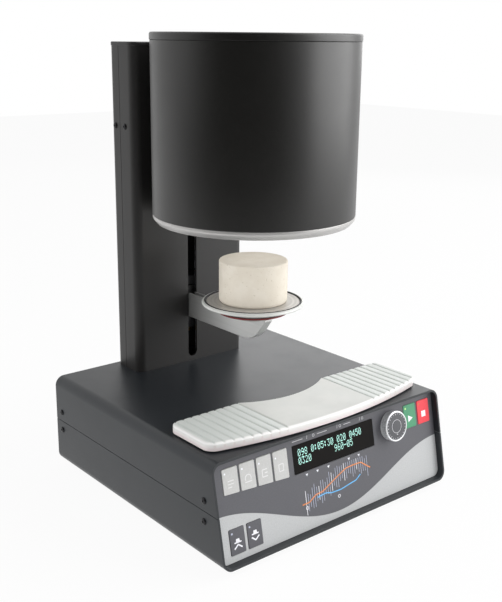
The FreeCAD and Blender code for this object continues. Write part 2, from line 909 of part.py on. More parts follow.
def power_inlet():
    """Mains inlet with its socket, three pins and the frame of the power switch."""
    flange = run_back(centred(*inlet_flange, 2.5), rear_face, rear_face + inlet_flange_sheet)
    body = run_back(centred(*inlet_body, 1.5), rear_face - inlet_depth, rear_face)
    mouth = rear_face + inlet_flange_sheet
    socket = run_back(centred(*inlet_socket, 3.0), mouth - inlet_socket_depth, mouth + 1)
    inlet = flange.fuse(body).cut(socket)
    pins = []
    for x, z in ((0, 2.0), (-inlet_pin_spread, -1.5), (inlet_pin_spread, -1.5)):
        root = mouth - inlet_socket_depth
        pin = run_back(centred(*inlet_pin), root - 1, root + inlet_pin_length)
        pin.translate(Vector(x, 0, z))
        pins.append(pin)
    inlet = fused([inlet] + pins)
    inlet.translate(Vector(inlet_x, 0, fitting_z))
    frame_face = centred(rocker_frame_width, rocker_box[1] + 2 * rocker_frame_margin, 1.5)
    frame = run_back(frame_face, rear_face, rear_face + inlet_flange_sheet)
    box = run_back(centred(*rocker_box, 0.8), rear_face - rocker_box_depth, rear_face)
    room = centred(*rocker_hole, 0.5)
    hole = run_back(room, rear_face - rocker_box_depth + 1, rear_face + inlet_flange_sheet + 1)
    socket_half = rocker_hole[0] / 2 + rocker_socket_depth
    pivot_y = rear_face - rocker_pivot_inset
    sockets = cylinder_x(rocker_pin_radius + running_gap, -socket_half, 2 * socket_half, pivot_y, 0, 1)
    switch_frame = frame.fuse(box).cut([hole, sockets])
    switch_frame.translate(Vector(rocker_x, 0, fitting_z))
    return together([inlet, switch_frame])


def fuse_holders():
    made = []
    for x in fuse_x:
        z = fitting_z
        body = cylinder_y(fuse_radius, rear_face - fuse_depth, rear_face, x, z)
        cap = cylinder_y(fuse_cap_radius, rear_face, rear_face + fuse_cap_length, x, z)
        front = rear_face + fuse_cap_length
        wide, tall = fuse_slot
        slot = block(x - wide / 2, front - 1, z - tall / 2, x + wide / 2, front + 1, z + tall / 2)
        cap = round_edges(cap, 0.8, lambda edge: edge.BoundBox.YMin > front - 0.01)
        made.append(fused([body, cap]).cut(slot))
    return together(made)


def vacuum_fitting():
    z = fitting_z
    mouth = rear_face + vacuum_collar_length
    body = cylinder_y(vacuum_body_radius, rear_face - vacuum_depth, rear_face, vacuum_x, z)
    collar = cylinder_y(vacuum_collar_radius, rear_face, mouth, vacuum_x, z)
    collar = round_edges(collar, 0.8, lambda edge: edge.BoundBox.YMin > mouth - 0.01)
    bore = cylinder_y(vacuum_bore_radius, mouth - vacuum_bore_length, mouth + 1, vacuum_x, z)
    duct = cylinder_y(vacuum_bore_radius - 1.5, rear_face - vacuum_depth - 1, mouth, vacuum_x, z)
    return fused([body, collar]).cut([bore, duct])


def main_board():
    wide, deep = main_board_size
    low = floor_z + main_board_height
    top = low + board_sheet
    pieces = [raised(rectangle(0, 0, wide, deep, 2.0), low, top)]
    for left, front, width, depth, height in board_blocks:
        pieces.append(block(left, front, top, left + width, front + depth, top + height))
    for left, front, radius, height in board_cans:
        pieces.append(cylinder(radius, top, top + height, left, front))
    for x in (board_post_inset, wide - board_post_inset):
        for y in (board_post_inset, deep - board_post_inset):
            pieces.append(cylinder(board_post_radius, floor_z, low, x, y))
    board = fused(pieces)
    board.translate(Vector(-inner_half + main_board_inset, main_board_y - deep / 2, 0))
    return board


def transformer():
    wide, deep, tall = transformer_size
    bottom = floor_z + transformer_plate
    top = bottom + tall
    gap = transformer_winding_gap
    foot = raised(centred(wide + 2 * transformer_foot, deep, 3.0), floor_z, bottom)
    core = raised(centred(wide, deep - 2 * transformer_core_inset), bottom, top)
    winding = raised(centred(wide - 2 * transformer_winding_inset, deep, 5.0), bottom + gap, top - gap)
    made = fused([foot, core, winding])
    made.translate(Vector(inner_half - transformer_inset - wide / 2, transformer_y, 0))
    return made


# Column

def channel_face(half, front, rear, radius, sheet, closed_front):
    """Plan of a bent channel, open at the rear if closed_front, otherwise open at the front."""
    if closed_front:
        outer = outline([(-half, rear, 0), (-half, front, radius), (half, front, radius), (half, rear, 0)])
        inner = outline([
            (-half + sheet, rear + 1, 0), (-half + sheet, front + sheet, radius - sheet),
            (half - sheet, front + sheet, radius - sheet), (half - sheet, rear + 1, 0),
        ])
    else:
        outer = outline([(-half, front, 0), (half, front, 0), (half, rear, radius), (-half, rear, radius)])
        inner = outline([
            (-half + sheet, front - 1, 0), (half - sheet, front - 1, 0),
            (half - sheet, rear - sheet, radius - sheet), (-half + sheet, rear - sheet, radius - sheet),
        ])
    return outer, inner


def channel(half, front, rear, radius, sheet, closed_front, low, high):
    outer, inner = channel_face(half, front, rear, radius, sheet, closed_front)
    return raised(outer, low, high).cut(raised(inner, low - 1, high + 1))


def slot_cutter(width, low, high, front, rear):
    return run_back(rectangle(-width / 2, low, width / 2, high, width / 2 - 0.01), front, rear)


def bracket_screw_places():
    middle = shell_bottom + bracket_bottom + bracket_height / 2
    return [
        (x, middle + rise)
        for x in (-bracket_screw_spread, bracket_screw_spread)
        for rise in (-bracket_screw_rise, bracket_screw_rise)
    ]


def bracket_holes(radius, front, rear):
    return [cylinder_y(radius, front, rear, x, z) for x, z in bracket_screw_places()]


def column_front_cover():
    rear = column_seam - seam_gap / 2
    cover = channel(column_half, column_front, rear, column_bend, column_sheet, True, shell_top, cover_top)
    before = column_front - 1
    behind = column_front + column_sheet + 1
    cutters = [slot_cutter(slot_width, shell_bottom + slot_bottom, shell_bottom + slot_top, before, behind)]
    cutters += side_holes(column_screw_places(), column_half, case_screw_radius + fit_gap, column_sheet + 1)
    cutters += bracket_holes(bracket_screw_radius + fit_gap, before, behind)
    return cover.cut(cutters)


def column_rear_cover():
    front = column_seam + seam_gap / 2
    cover = channel(column_half, front, column_rear, column_bend, column_sheet, False, shell_top, cover_top)
    radius = case_screw_radius + fit_gap
    return cover.cut(side_holes(column_screw_places(), column_half, radius, column_sheet + 1))


def column_cap():
    reach = column_half + cap_overhang
    front = column_front - cap_overhang
    rear = column_rear + cap_overhang
    plate_face = rectangle(-reach, front, reach, rear, column_bend + cap_overhang)
    plate = raised(plate_face, cover_top, cover_top + cap_sheet)
    plate = round_edges(plate, 1.0, lambda edge: edge.BoundBox.ZMin > cover_top + cap_sheet - 0.01)
    inset = column_sheet + fit_gap
    skirts = []
    for step in (inset, inset + cap_skirt_sheet):
        skirts.append(raised(
            rectangle(
                -column_half + step, column_front + step, column_half - step, column_rear - step,
                max(column_bend - step, 0.5),
            ),
            cover_top - cap_skirt,
            cover_top,
        ))
    return fused([plate, skirts[0].cut(skirts[1])])


def column_spine():
    top = cover_top - cap_skirt - spine_top_gap
    bend = column_bend - column_sheet - fit_gap
    outer, inner = channel_face(spine_half, spine_front, spine_rear, bend, spine_sheet, True)
    spine = raised(outer, floor_z, top).cut(raised(inner, floor_z - 1, top + 1))
    foot = raised(outer, floor_z, floor_z + spine_foot_sheet)
    slot_low = shell_bottom + slot_bottom - spine_slot_beyond
    slot_high = shell_bottom + slot_top + spine_slot_beyond
    cutters = [slot_cutter(spine_slot_width, slot_low, slot_high, spine_front - 1, spine_back + 1)]
    cutters += side_holes(column_screw_places(), spine_half, case_screw_radius + thread_gap, spine_sheet + 1)
    cutters += bracket_holes(bracket_screw_radius + fit_gap, spine_front - 1, spine_back + 1)
    return fused([spine, foot]).cut(cutters)


def block_levels():
    return [shell_bottom + lower_block_bottom, shell_bottom + upper_block_bottom]


def rod_blocks():
    made = []
    for low in block_levels():
        high = low + rod_block_height
        half = rod_block_width / 2
        body = block(-half, spine_back, low, half, drive_y + rod_block_depth, high)
        cutters = [
            cylinder(rod_radius + press_gap, low - 1, high + 1, x, drive_y) for x in (-rod_spread, rod_spread)
        ]
        cutters.append(cylinder(screw_radius + 1, low - 1, high + 1, 0, drive_y))
        cutters.append(cylinder(bearing_radius + press_gap, high - bearing_height, high + 1, 0, drive_y))
        made.append(body.cut(cutters))
    return together(made)


def screw_bearings():
    made = []
    for low in block_levels():
        high = low + rod_block_height
        ring = cylinder(bearing_radius, high - bearing_height, high, 0, drive_y)
        made.append(ring.cut(cylinder(screw_radius + running_gap, low, high + 1, 0, drive_y)))
    return together(made)


def guide_rods():
    low, high = block_levels()
    top = high + rod_block_height - 1
    return together([cylinder(rod_radius, low + 1, top, x, drive_y) for x in (-rod_spread, rod_spread)])


def lead_screw():
    low, high = block_levels()
    return cylinder(screw_radius, low - 5, high + rod_block_height - 1, 0, drive_y)


def lift_motor():
    top = shell_bottom + lower_block_bottom
    body = raised(centred(motor_size, motor_size, motor_corner), top - motor_length, top)
    band = raised(centred(motor_size + 2, motor_size + 2), top - motor_length + 9, top - 9)
    ring = raised(centred(motor_size - 1, motor_size - 1, motor_corner), top - motor_length + 8, top - 8)
    body = body.cut(band.cut(ring))
    body.translate(Vector(0, drive_y, 0))
    return body.cut(cylinder(screw_radius + running_gap, top - 7, top + 1, 0, drive_y))


# Carriage, arm and dish

def carriage():
    top = carriage_bottom + carriage_height
    body = block(
        -carriage_width / 2, carriage_front, carriage_bottom, carriage_width / 2, carriage_rear, top
    )
    body = round_edges(body, 2.0, lambda edge: edge.BoundBox.ZLength > carriage_height - 0.01)
    cutters = []
    for x in (-rod_spread, rod_spread):
        cutters.append(cylinder(bush_radius + press_gap, carriage_bottom - 1, top + 1, x, drive_y))
    nut_top = carriage_bottom + nut_length + 2
    cutters.append(cylinder(nut_radius + fit_gap, carriage_bottom - 1, nut_top, 0, drive_y))
    cutters.append(cylinder(screw_radius + 1, carriage_bottom - 1, top + 1, 0, drive_y))
    for x, z in arm_screw_places():
        radius = arm_screw_radius + thread_gap
        cutters.append(cylinder_y(radius, carriage_front - 1, carriage_front + arm_screw_length, x, z))
    return body.cut(cutters)


def guide_bushes():
    made = []
    top = carriage_bottom + carriage_height
    for x in (-rod_spread, rod_spread):
        for low in (carriage_bottom, top - bush_length):
            bush = cylinder(bush_radius, low, low + bush_length, x, drive_y)
            bore = cylinder(rod_radius + running_gap, low - 1, low + bush_length + 1, x, drive_y)
            made.append(bush.cut(bore))
    return together(made)


def lift_nut():
    flange = cylinder(nut_flange_radius, carriage_bottom - nut_flange_sheet, carriage_bottom, 0, drive_y)
    body = cylinder(nut_radius, carriage_bottom, carriage_bottom + nut_length, 0, drive_y)
    low = carriage_bottom - nut_flange_sheet
    bore = cylinder(screw_radius + running_gap, low - 1, low + nut_length + nut_flange_sheet + 1, 0, drive_y)
    return fused([flange, body]).cut(bore)


def arm_screw_places():
    return [
        (x, arm_middle_z + rise)
        for x in (-arm_screw_spread, arm_screw_spread)
        for rise in (-arm_screw_rise, arm_screw_rise)
    ]


def lift_arm():
    low = shell_bottom + arm_bottom
    high = shell_bottom + arm_top
    face = outline([
        (carriage_front, low, 0),
        (carriage_front, high, 0),
        (axis_y - arm_tip_reach, high, 1.5),
        (axis_y - arm_underside_reach, low, arm_tip_radius),
    ])
    bar = side_plate(face, -arm_width / 2, arm_width / 2)
    bar = round_edges(bar, 0.7, lambda edge: edge.BoundBox.XLength < 0.01
                      and edge.BoundBox.YMin < carriage_front - 1 and edge.BoundBox.ZMax < high - 0.01
                      and edge.BoundBox.ZLength < high - low - 1)
    seat_front = axis_y + arm_seat_radius
    groove = block(
        -arm_groove_width / 2, seat_front - 3, high - arm_groove_depth,
        arm_groove_width / 2, column_front + column_sheet, high + 1,
    )
    bar = bar.cut(groove)
    seat = turned([
        (0, gasket_bottom_z - arm_seat_depth, 0),
        (arm_seat_radius - 5, gasket_bottom_z - arm_seat_depth, 0),
        (arm_seat_radius, gasket_bottom_z - 2, 0),
        (arm_seat_radius, gasket_bottom_z, 0),
        (0, gasket_bottom_z, 0),
    ], 0, axis_y)
    half = arm_flange_width / 2
    flange = run_back(
        rectangle(
            -half, arm_middle_z - arm_flange_height / 2, half, arm_middle_z + arm_flange_height / 2, 3.0
        ),
        carriage_front - arm_flange_sheet,
        carriage_front,
    )
    arm = fused([bar, seat, flange])
    cutters = []
    for x, z in arm_screw_places():
        cutters.append(cylinder_y(
            arm_screw_radius + fit_gap, carriage_front - arm_flange_sheet - 1, carriage_front + 1, x, z
        ))
        cutters.append(arm_screw_cone(x, z, fit_gap / 2))
    return arm.cut(cutters)


def arm_screw_cone(x, z, grow):
    """Countersink of an arm screw, its wide end on the front of the arm's flange."""
    front = carriage_front - arm_flange_sheet
    wide = arm_screw_head + grow
    narrow = arm_screw_radius + grow
    return Part.makeCone(wide, narrow, wide - narrow, Vector(x, front, z), Vector(0, 1, 0))


def arm_screws():
    made = []
    for x, z in arm_screw_places():
        front = carriage_front - arm_flange_sheet
        shank = cylinder_y(arm_screw_radius, front, carriage_front + arm_screw_length - 2, x, z)
        made.append(fused([arm_screw_cone(x, z, 0.0), shank]))
    return together(made)


def dish():
    rim_bottom = dish_top_z - dish_rim_height
    under = dish_top_z - dish_under
    return turned([
        (0, under, 0),
        (dish_under_radius, under, 0.8),
        (dish_radius - 2.4, rim_bottom, 0),
        (dish_radius, rim_bottom, 1.2),
        (dish_radius, dish_top_z, 1.1),
        (dish_radius - dish_rim_width, dish_top_z, 0.4),
        (dish_radius - dish_rim_width, dish_floor_z, 0),
        (0, dish_floor_z, 0),
    ], 0, axis_y)


def dish_seal():
    outer = dish_radius - dish_rim_width - running_gap
    top = dish_top_z + seal_proud
    return turned([
        (outer - seal_width, dish_floor_z, 0),
        (outer, dish_floor_z, 0),
        (outer, top, 0.6),
        (outer - seal_width, top, 0.6),
    ], 0, axis_y)


def dish_plate():
    radius = dish_radius - dish_rim_width - running_gap - seal_width - plate_gap
    top = dish_floor_z + plate_sheet
    corners = [(0, dish_floor_z, 0), (radius, dish_floor_z, 0), (radius, top, 0.4), (0, top, 0)]
    return turned(corners, 0, axis_y)


def dish_gasket():
    top = dish_top_z - dish_under
    return turned([
        (0, gasket_bottom_z, 0),
        (gasket_radius, gasket_bottom_z, 0.7),
        (gasket_radius, top, 0),
        (0, top, 0),
    ], 0, axis_y)


def firing_pedestal():
    low = dish_floor_z + plate_sheet
    high = low + pedestal_height
    return turned([
        (0, low, 0),
        (pedestal_radius, low, pedestal_bottom_edge),
        (pedestal_radius, high, pedestal_top_edge),
        (0, high, 0),
    ], 0, axis_y)


# Drum

def lug_angles():
    return [45, 135, 225, 315]


def lug_screw_radius():
    return drum_radius - drum_sheet - lug_depth / 2


def drum_shell():
    low = shell_bottom + drum_bottom
    high = shell_bottom + drum_top
    inner = drum_radius - drum_sheet
    wall = cylinder(drum_radius, low, high).cut(cylinder(inner, low - 1, high + 1))
    pieces = [wall]
    lug_low = high - lug_height
    for angle in lug_angles():
        lug = block(inner - lug_depth, -lug_width / 2, lug_low, inner + drum_sheet / 2, lug_width / 2, high)
        lug = lug.cut(cylinder(lid_screw_radius + thread_gap, lug_low - 1, high + 1, lug_screw_radius(), 0))
        lug.rotate(Vector(0, 0, 0), Vector(0, 0, 1), angle)
        pieces.append(lug)
    shell = fused(pieces)
    shell.translate(Vector(0, axis_y, 0))
    return shell.cut(bracket_holes(bracket_screw_radius + thread_gap, axis_y, column_front))


def drum_lid():
    low = shell_bottom + drum_top
    high = low + lid_height
    inner = lid_radius - lid_rim_width
    lid = turned([
        (0, high - lid_sheet, 0),
        (inner, high - lid_sheet, 0),
        (inner, low, 0),
        (lid_radius, low, 0.4),
        (lid_radius, high, lid_edge),
        (0, high, 0),
    ], 0, axis_y)
    return lid.cut([lid_screw_bore(angle, low, high) for angle in lug_angles()])


def lid_screw_place(angle):
    return (
        lug_screw_radius() * math.cos(math.radians(angle)),
        axis_y + lug_screw_radius() * math.sin(math.radians(angle)),
    )


def lid_screw_bore(angle, low, high):
    x, y = lid_screw_place(angle)
    hole = cylinder(lid_screw_radius + fit_gap, low - 1, high + 1, x, y)
    return hole.fuse(cylinder(lid_screw_head + fit_gap, high - lid_screw_head_height, high + 1, x, y))


def lid_screws():
    made = []
    high = shell_bottom + drum_top + lid_height
    for angle in lug_angles():
        x, y = lid_screw_place(angle)
        neck = high - lid_screw_head_height
        head = cylinder(lid_screw_head, neck, high, x, y)
        socket = cylinder(lid_screw_socket_radius, high - lid_screw_socket_depth, high + 1, x, y)
        shank = cylinder(lid_screw_radius, neck - lid_screw_length, neck, x, y)
        made.append(fused([head, shank]).cut(socket))
    return together(made)


def drum_base_ring():
    low = shell_bottom + ring_bottom
    top = shell_bottom + drum_bottom
    register = drum_radius - drum_sheet - fit_gap
    return turned([
        (ring_bore_radius, low, 1.0),
        (ring_foot_radius, low, 1.0),
        (drum_radius - 0.2, low + 4.6, 3.0),
        (drum_radius - 0.2, top, 0.4),
        (register, top, 0),
        (register, top + ring_register, 0),
        (ring_bore_radius, top + ring_register, 0),
    ], 0, axis_y)


def insulation():
    """Lower ring, wall round the muffle and top block, stacked on the base ring."""
    outer = drum_radius - drum_sheet - insulation_gap
    low = shell_bottom + drum_bottom + ring_register
    muffle_low = shell_bottom + muffle_bottom
    muffle_high = shell_bottom + muffle_top + fit_gap
    high = shell_bottom + drum_top - lug_height - insulation_top_gap
    ring = cylinder(outer, low, muffle_low).cut(cylinder(ring_bore_radius, low - 1, muffle_low + 1))
    pocket = cylinder(muffle_bore + muffle_wall + fit_gap, muffle_low - 1, muffle_high + 1)
    wall = cylinder(outer, muffle_low, muffle_high).cut(pocket)
    hole = cylinder(thermocouple_radius + fit_gap, muffle_high - 1, high + 1, thermocouple_offset, 0)
    top = cylinder(outer, muffle_high, high).cut(hole)
    stack = together([ring, wall, top])
    stack.translate(Vector(0, axis_y, 0))
    return stack


def heating_muffle():
    low = shell_bottom + muffle_bottom
    high = shell_bottom + muffle_top
    outer = muffle_bore + muffle_wall
    tube = cylinder(outer, low, high).cut(cylinder(muffle_bore, low - 1, high + 1))
    tube.translate(Vector(0, axis_y, 0))
    return tube


def heating_coil():
    """Round wire along a helix, which is drawn as short arcs that touch it at three points each."""
    tall = muffle_top - muffle_bottom - 2 * coil_margin
    reach = muffle_bore - coil_wire - fit_gap
    arcs = coil_turns * coil_arcs_per_turn

    def on_helix(share):
        angle = 2 * math.pi * coil_turns * share
        return Vector(reach * math.cos(angle), reach * math.sin(angle), tall * share)

    edges = []
    for index in range(arcs):
        places = [on_helix((index + part) / arcs) for part in (0.0, 0.5, 1.0)]
        edges.append(Part.Arc(*places).toShape())
    along = Vector(0, 2 * math.pi * reach * coil_turns, tall).normalize()
    section = Part.Wire([Part.makeCircle(coil_wire, on_helix(0.0), along)])
    coil = Part.Wire(edges).makePipeShell([section], True, True, 1)
    coil.translate(Vector(0, axis_y, shell_bottom + muffle_bottom + coil_margin))
    return coil


def thermocouple():
    top = shell_bottom + drum_top - lug_height - insulation_top_gap
    tip = shell_bottom + muffle_top - thermocouple_reach
    return turned([
        (0, tip, 0),
        (thermocouple_radius, tip, 1.5),
        (thermocouple_radius, top, 0),
        (thermocouple_head, top, 0),
        (thermocouple_head, top + thermocouple_head_height, 0),
        (0, top + thermocouple_head_height, 0),
    ], thermocouple_offset, axis_y)


def drum_bracket():
    low = shell_bottom + bracket_bottom
    high = low + bracket_height
    half = bracket_width / 2
    body = block(-half, axis_y, low, half, column_front, high)
    body = body.cut(cylinder(drum_radius + fit_gap, low - 1, high + 1, 0, axis_y))
    body = body.common(block(-half, axis_y + drum_radius / 2, low, half, column_front, high))
    body = round_edges(body, 3.0, lambda edge: edge.BoundBox.YLength > 5
                       and abs(edge.BoundBox.XMin) > half - 0.01 and edge.BoundBox.ZLength < 0.01)
    return body.cut(bracket_holes(bracket_screw_radius + fit_gap, axis_y, column_front + 1))


def bracket_screws():
    made = []
    for x, z in bracket_screw_places():
        wall = axis_y + math.sqrt((drum_radius - drum_sheet) ** 2 - x ** 2)
        head = cylinder_y(bracket_head_radius, spine_back, spine_back + bracket_head_height, x, z)
        shank = cylinder_y(bracket_screw_radius, wall - 2, spine_back, x, z)
        made.append(fused([head, shank]))
    return together(made)


# Cooling tray

def arc_through(start, middle, end):
    return Part.Arc(Vector(*start, 0), Vector(*middle, 0), Vector(*end, 0)).toShape()


def tray_face():
    """Plan of the tray: bowed front edge, hollow in the rear edge, straight ends."""
    wide = tray_half_width
    waist = tray_waist
    edges = [
        arc_through((-wide, tray_side_front), (0, tray_middle_front), (wide, tray_side_front)),
        Part.makeLine(Vector(wide, tray_side_front, 0), Vector(wide, tray_rear, 0)),
        Part.makeLine(Vector(wide, tray_rear, 0), Vector(waist, tray_rear, 0)),
        arc_through((waist, tray_rear), (0, tray_middle_rear), (-waist, tray_rear)),
        Part.makeLine(Vector(-waist, tray_rear, 0), Vector(-wide, tray_rear, 0)),
        Part.makeLine(Vector(-wide, tray_rear, 0), Vector(-wide, tray_side_front, 0)),
    ]
    return Part.Face(Part.Wire(edges))


def tray_front_at(x):
    """Y of the bowed front edge at a distance from the middle."""
    rise = tray_side_front - tray_middle_front
    radius = (tray_half_width ** 2 + rise ** 2) / (2 * rise)
    return tray_middle_front + radius - math.sqrt(radius ** 2 - x ** 2)


def rib_cutter(left):
    """Space above one rib: its underside is the rib's rounded crest."""
    right = left + rib_pitch
    low = tray_top_z - rib_depth
    crest = tray_top_z - 0.05
    corners = [(left, low), (left, tray_top_z + 2), (right, tray_top_z + 2), (right, low)]
    points = [Vector(x, z, 0) for x, z in corners]
    edges = [Part.makeLine(points[index], points[index + 1]) for index in range(3)]
    edges.append(arc_through((right, low), ((left + right) / 2, crest), (left, low)))
    front = tray_front_at(max(abs(left), abs(right))) + rib_stop
    return run_back(Part.Face(Part.Wire(edges)), front, tray_rear + 1)


def cooling_tray():
    body = raised(tray_face(), tray_bottom_z, tray_top_z)
    wide = tray_half_width
    body = round_edges(body, tray_corner, lambda edge: edge.BoundBox.ZLength > tray_thickness - 0.01
                       and abs(edge.BoundBox.XMin) > wide - 0.01)
    body = round_edges(body, tray_edge, lambda edge: edge.BoundBox.ZMin > tray_top_z - 0.01)
    cutters = []
    for index in range(rib_count):
        left = rib_first + index * rib_pitch
        cutters.append(rib_cutter(left))
        cutters.append(rib_cutter(-left - rib_pitch))
    return body.cut(cutters)


def tray_feet():
    reach = tray_half_width - tray_pad_side_inset
    ends = (tray_rear - tray_pad_end_inset, tray_side_front + tray_pad_end_inset)
    places = [(x, y) for x in (-reach, reach) for y in ends]
    return together([cylinder(tray_pad_radius, shell_top, tray_bottom_z, x, y) for x, y in places])


pieces = {
    "lower_shell": lower_shell,
    "upper_shell": upper_shell,
    "feet": feet,
    "foot_screws": foot_screws,
    "case_screws": case_screws,
    "side_rails": side_rails,
    "front_panel": front_panel,
    "keypad_foil": keypad_foil,
    "display_window": display_window,
    "display_module": display_module,
    "control_board": control_board,
    "encoder_shaft": encoder_shaft,
    "selector_knob": selector_knob,
    "knob_face": knob_face,
    "rear_panel": rear_panel,
    "power_inlet": power_inlet,
    "power_switch": power_switch,
    "fuse_holders": fuse_holders,
    "vacuum_fitting": vacuum_fitting,
    "main_board": main_board,
    "transformer": transformer,
    "column_front_cover": column_front_cover,
    "column_rear_cover": column_rear_cover,
    "column_cap": column_cap,
    "column_spine": column_spine,
    "rod_blocks": rod_blocks,
    "screw_bearings": screw_bearings,
    "guide_rods": guide_rods,
    "lead_screw": lead_screw,
    "lift_motor": lift_motor,
    "carriage": carriage,
    "guide_bushes": guide_bushes,
    "lift_nut": lift_nut,
    "lift_arm": lift_arm,
    "arm_screws": arm_screws,
    "dish": dish,
    "dish_seal": dish_seal,
    "dish_plate": dish_plate,
    "dish_gasket": dish_gasket,
    "firing_pedestal": firing_pedestal,
    "drum_shell": drum_shell,
    "drum_lid": drum_lid,
    "lid_screws": lid_screws,
    "drum_base_ring": drum_base_ring,
    "insulation": insulation,
    "heating_muffle": heating_muffle,
    "heating_coil": heating_coil,
    "thermocouple": thermocouple,
    "drum_bracket": drum_bracket,
    "bracket_screws": bracket_screws,
    "cooling_tray": cooling_tray,
    "tray_feet": tray_feet,
}

os.makedirs("parts", exist_ok=True)
for name, make in pieces.items():
    save(name, make())
for name, corners in key_layout():
    save(name, key_cap(corners))
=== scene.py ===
import json
import math

import bmesh
import bpy
import numpy as np
from mathutils import Matrix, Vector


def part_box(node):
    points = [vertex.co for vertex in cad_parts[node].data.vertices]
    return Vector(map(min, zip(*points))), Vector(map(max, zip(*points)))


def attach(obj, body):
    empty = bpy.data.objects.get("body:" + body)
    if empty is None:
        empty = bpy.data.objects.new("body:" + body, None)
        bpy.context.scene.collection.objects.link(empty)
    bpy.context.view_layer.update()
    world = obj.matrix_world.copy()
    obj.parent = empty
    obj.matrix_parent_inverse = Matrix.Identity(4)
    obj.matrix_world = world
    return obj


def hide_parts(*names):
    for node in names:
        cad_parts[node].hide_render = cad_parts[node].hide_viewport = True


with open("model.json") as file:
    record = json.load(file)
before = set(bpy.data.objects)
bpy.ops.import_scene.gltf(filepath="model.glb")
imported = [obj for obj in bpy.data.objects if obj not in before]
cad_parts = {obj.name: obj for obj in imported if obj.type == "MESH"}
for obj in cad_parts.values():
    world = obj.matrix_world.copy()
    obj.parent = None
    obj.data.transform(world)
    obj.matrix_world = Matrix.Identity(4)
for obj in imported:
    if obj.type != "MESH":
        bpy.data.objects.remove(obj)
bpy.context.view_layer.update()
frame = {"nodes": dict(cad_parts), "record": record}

print("frame loaded")

scene = bpy.context.scene
scene.view_settings.view_transform = "Standard"

mm = 0.001  # one millimetre in metres
nodes = frame["nodes"]
bodyOf = {}
for body, members in frame["record"]["behaviour"]["bodies"].items():
    bodyOf.update(dict.fromkeys(members, body))
slotOf = {part["node"]: part["material_slot"] for part in frame["record"]["subparts"]}


def unit(vector):
    return np.asarray(vector) / np.linalg.norm(vector)


def linkObject(name, data):
    made = bpy.data.objects.new(name, data)
    scene.collection.objects.link(made)
    return made


def setPlace(thing, place, *axes):
    # axes: the directions of the thing's own X, Y and Z
    thing.matrix_world = Matrix.Translation(place) @ Matrix(np.column_stack(axes).tolist()).to_4x4()


# Camera, from the photograph's straight edges and circles

camera = {
    "place": (-0.53416, -0.64153, 0.41199),
    "yaw": 39.80,  # degrees from straight ahead towards the right
    "pitch": 15.80,  # degrees down
    "roll": 0.62,
    "lens": 55.72,
    "sensor": 36,  # millimetres on the long side
    "nearest": 0.05,
}


def makeCamera():
    # yaw about Z, then pitch down, then roll about the view line
    yaw, pitch, roll = (math.radians(camera[angle]) for angle in ("yaw", "pitch", "roll"))
    ahead = np.array((math.sin(yaw) * math.cos(pitch), math.cos(yaw) * math.cos(pitch), -math.sin(pitch)))
    right = np.array((math.cos(yaw), -math.sin(yaw), 0.0))
    up = np.cross(right, ahead)
    turnedRight = math.cos(roll) * right + math.sin(roll) * up
    turnedUp = math.cos(roll) * up - math.sin(roll) * right
    data = bpy.data.cameras.new("camera")
    data.lens = camera["lens"]
    data.sensor_width = camera["sensor"]
    data.clip_start = camera["nearest"]
    scene.camera = linkObject("camera", data)
    setPlace(scene.camera, camera["place"], turnedRight, turnedUp, -ahead)


# Shader nodes

def feed(tree, socket, value):
    # another socket is linked, anything else becomes the socket's own value
    if isinstance(value, bpy.types.NodeSocket):
        tree.links.new(value, socket)
    else:
        socket.default_value = value


def addNode(tree, kind, inputs=None, **settings):
    made = tree.nodes.new(kind)
    for key, value in settings.items():
        setattr(made, key, value)
    for key, value in (inputs or {}).items():
        feed(tree, made.inputs[key], value)
    return made.outputs


def calculate(tree, operation, *values):
    return addNode(tree, "ShaderNodeMath", dict(enumerate(values)), operation=operation)[0]


def vectorOf(tree, operation, *values):
    made = addNode(tree, "ShaderNodeVectorMath", dict(enumerate(values)), operation=operation)
    return made["Value" if operation in ("DOT_PRODUCT", "LENGTH") else "Vector"]


def vectorFrom(tree, *parts):
    return addNode(tree, "ShaderNodeCombineXYZ", dict(enumerate(parts)))[0]


def partsOf(tree, vector):
    return addNode(tree, "ShaderNodeSeparateXYZ", {0: vector})


def scaled(tree, colour, factor):
    return addNode(tree, "ShaderNodeVectorMath", {0: colour, 3: factor}, operation="SCALE")["Vector"]


def rampUp(tree, value, low, high, toLow=0.0, toHigh=1.0, kind="SMOOTHSTEP"):
    # value between low and high becomes toLow to toHigh, and stays there beyond them
    sockets = {"Value": value, "From Min": low, "From Max": high, "To Min": toLow, "To Max": toHigh}
    return addNode(tree, "ShaderNodeMapRange", sockets, interpolation_type=kind)["Result"]


def mixColours(tree, share, *colours):
    first, second = (value if isinstance(value, bpy.types.NodeSocket) else (*value, 1) for value in colours)
    return addNode(tree, "ShaderNodeMix", {0: share, 6: first, 7: second}, data_type="RGBA")[2]


def noiseOf(tree, vector, scale, detail=2.0, roughness=0.5):
    sockets = {"Vector": vector, "Scale": scale, "Detail": detail, "Roughness": roughness}
    return addNode(tree, "ShaderNodeTexNoise", sockets)["Fac"]


def objectPlace(tree):
    return addNode(tree, "ShaderNodeTexCoord")["Object"]


# Effects that several materials share, as node groups

def paintTexture(tree, place, fineness):
    # height: two sizes of noise added; tone: the larger one alone
    fine = noiseOf(tree, place, fineness, 3.0, 0.6)
    coarse = noiseOf(tree, place, calculate(tree, "MULTIPLY", fineness, 0.31), 1.0)
    return {"Height": calculate(tree, "MULTIPLY_ADD", coarse, 0.6, fine), "Tone": coarse}


def brushMarks(tree, place, stretch):
    # noise on coordinates multiplied by the stretch, so that it runs in lines along the axis with least
    drawn = vectorOf(tree, "MULTIPLY", place, stretch)
    return {"Height": noiseOf(tree, drawn, 1.0, 4.0, 0.65), "Tone": noiseOf(tree, drawn, 0.23, 2.0)}


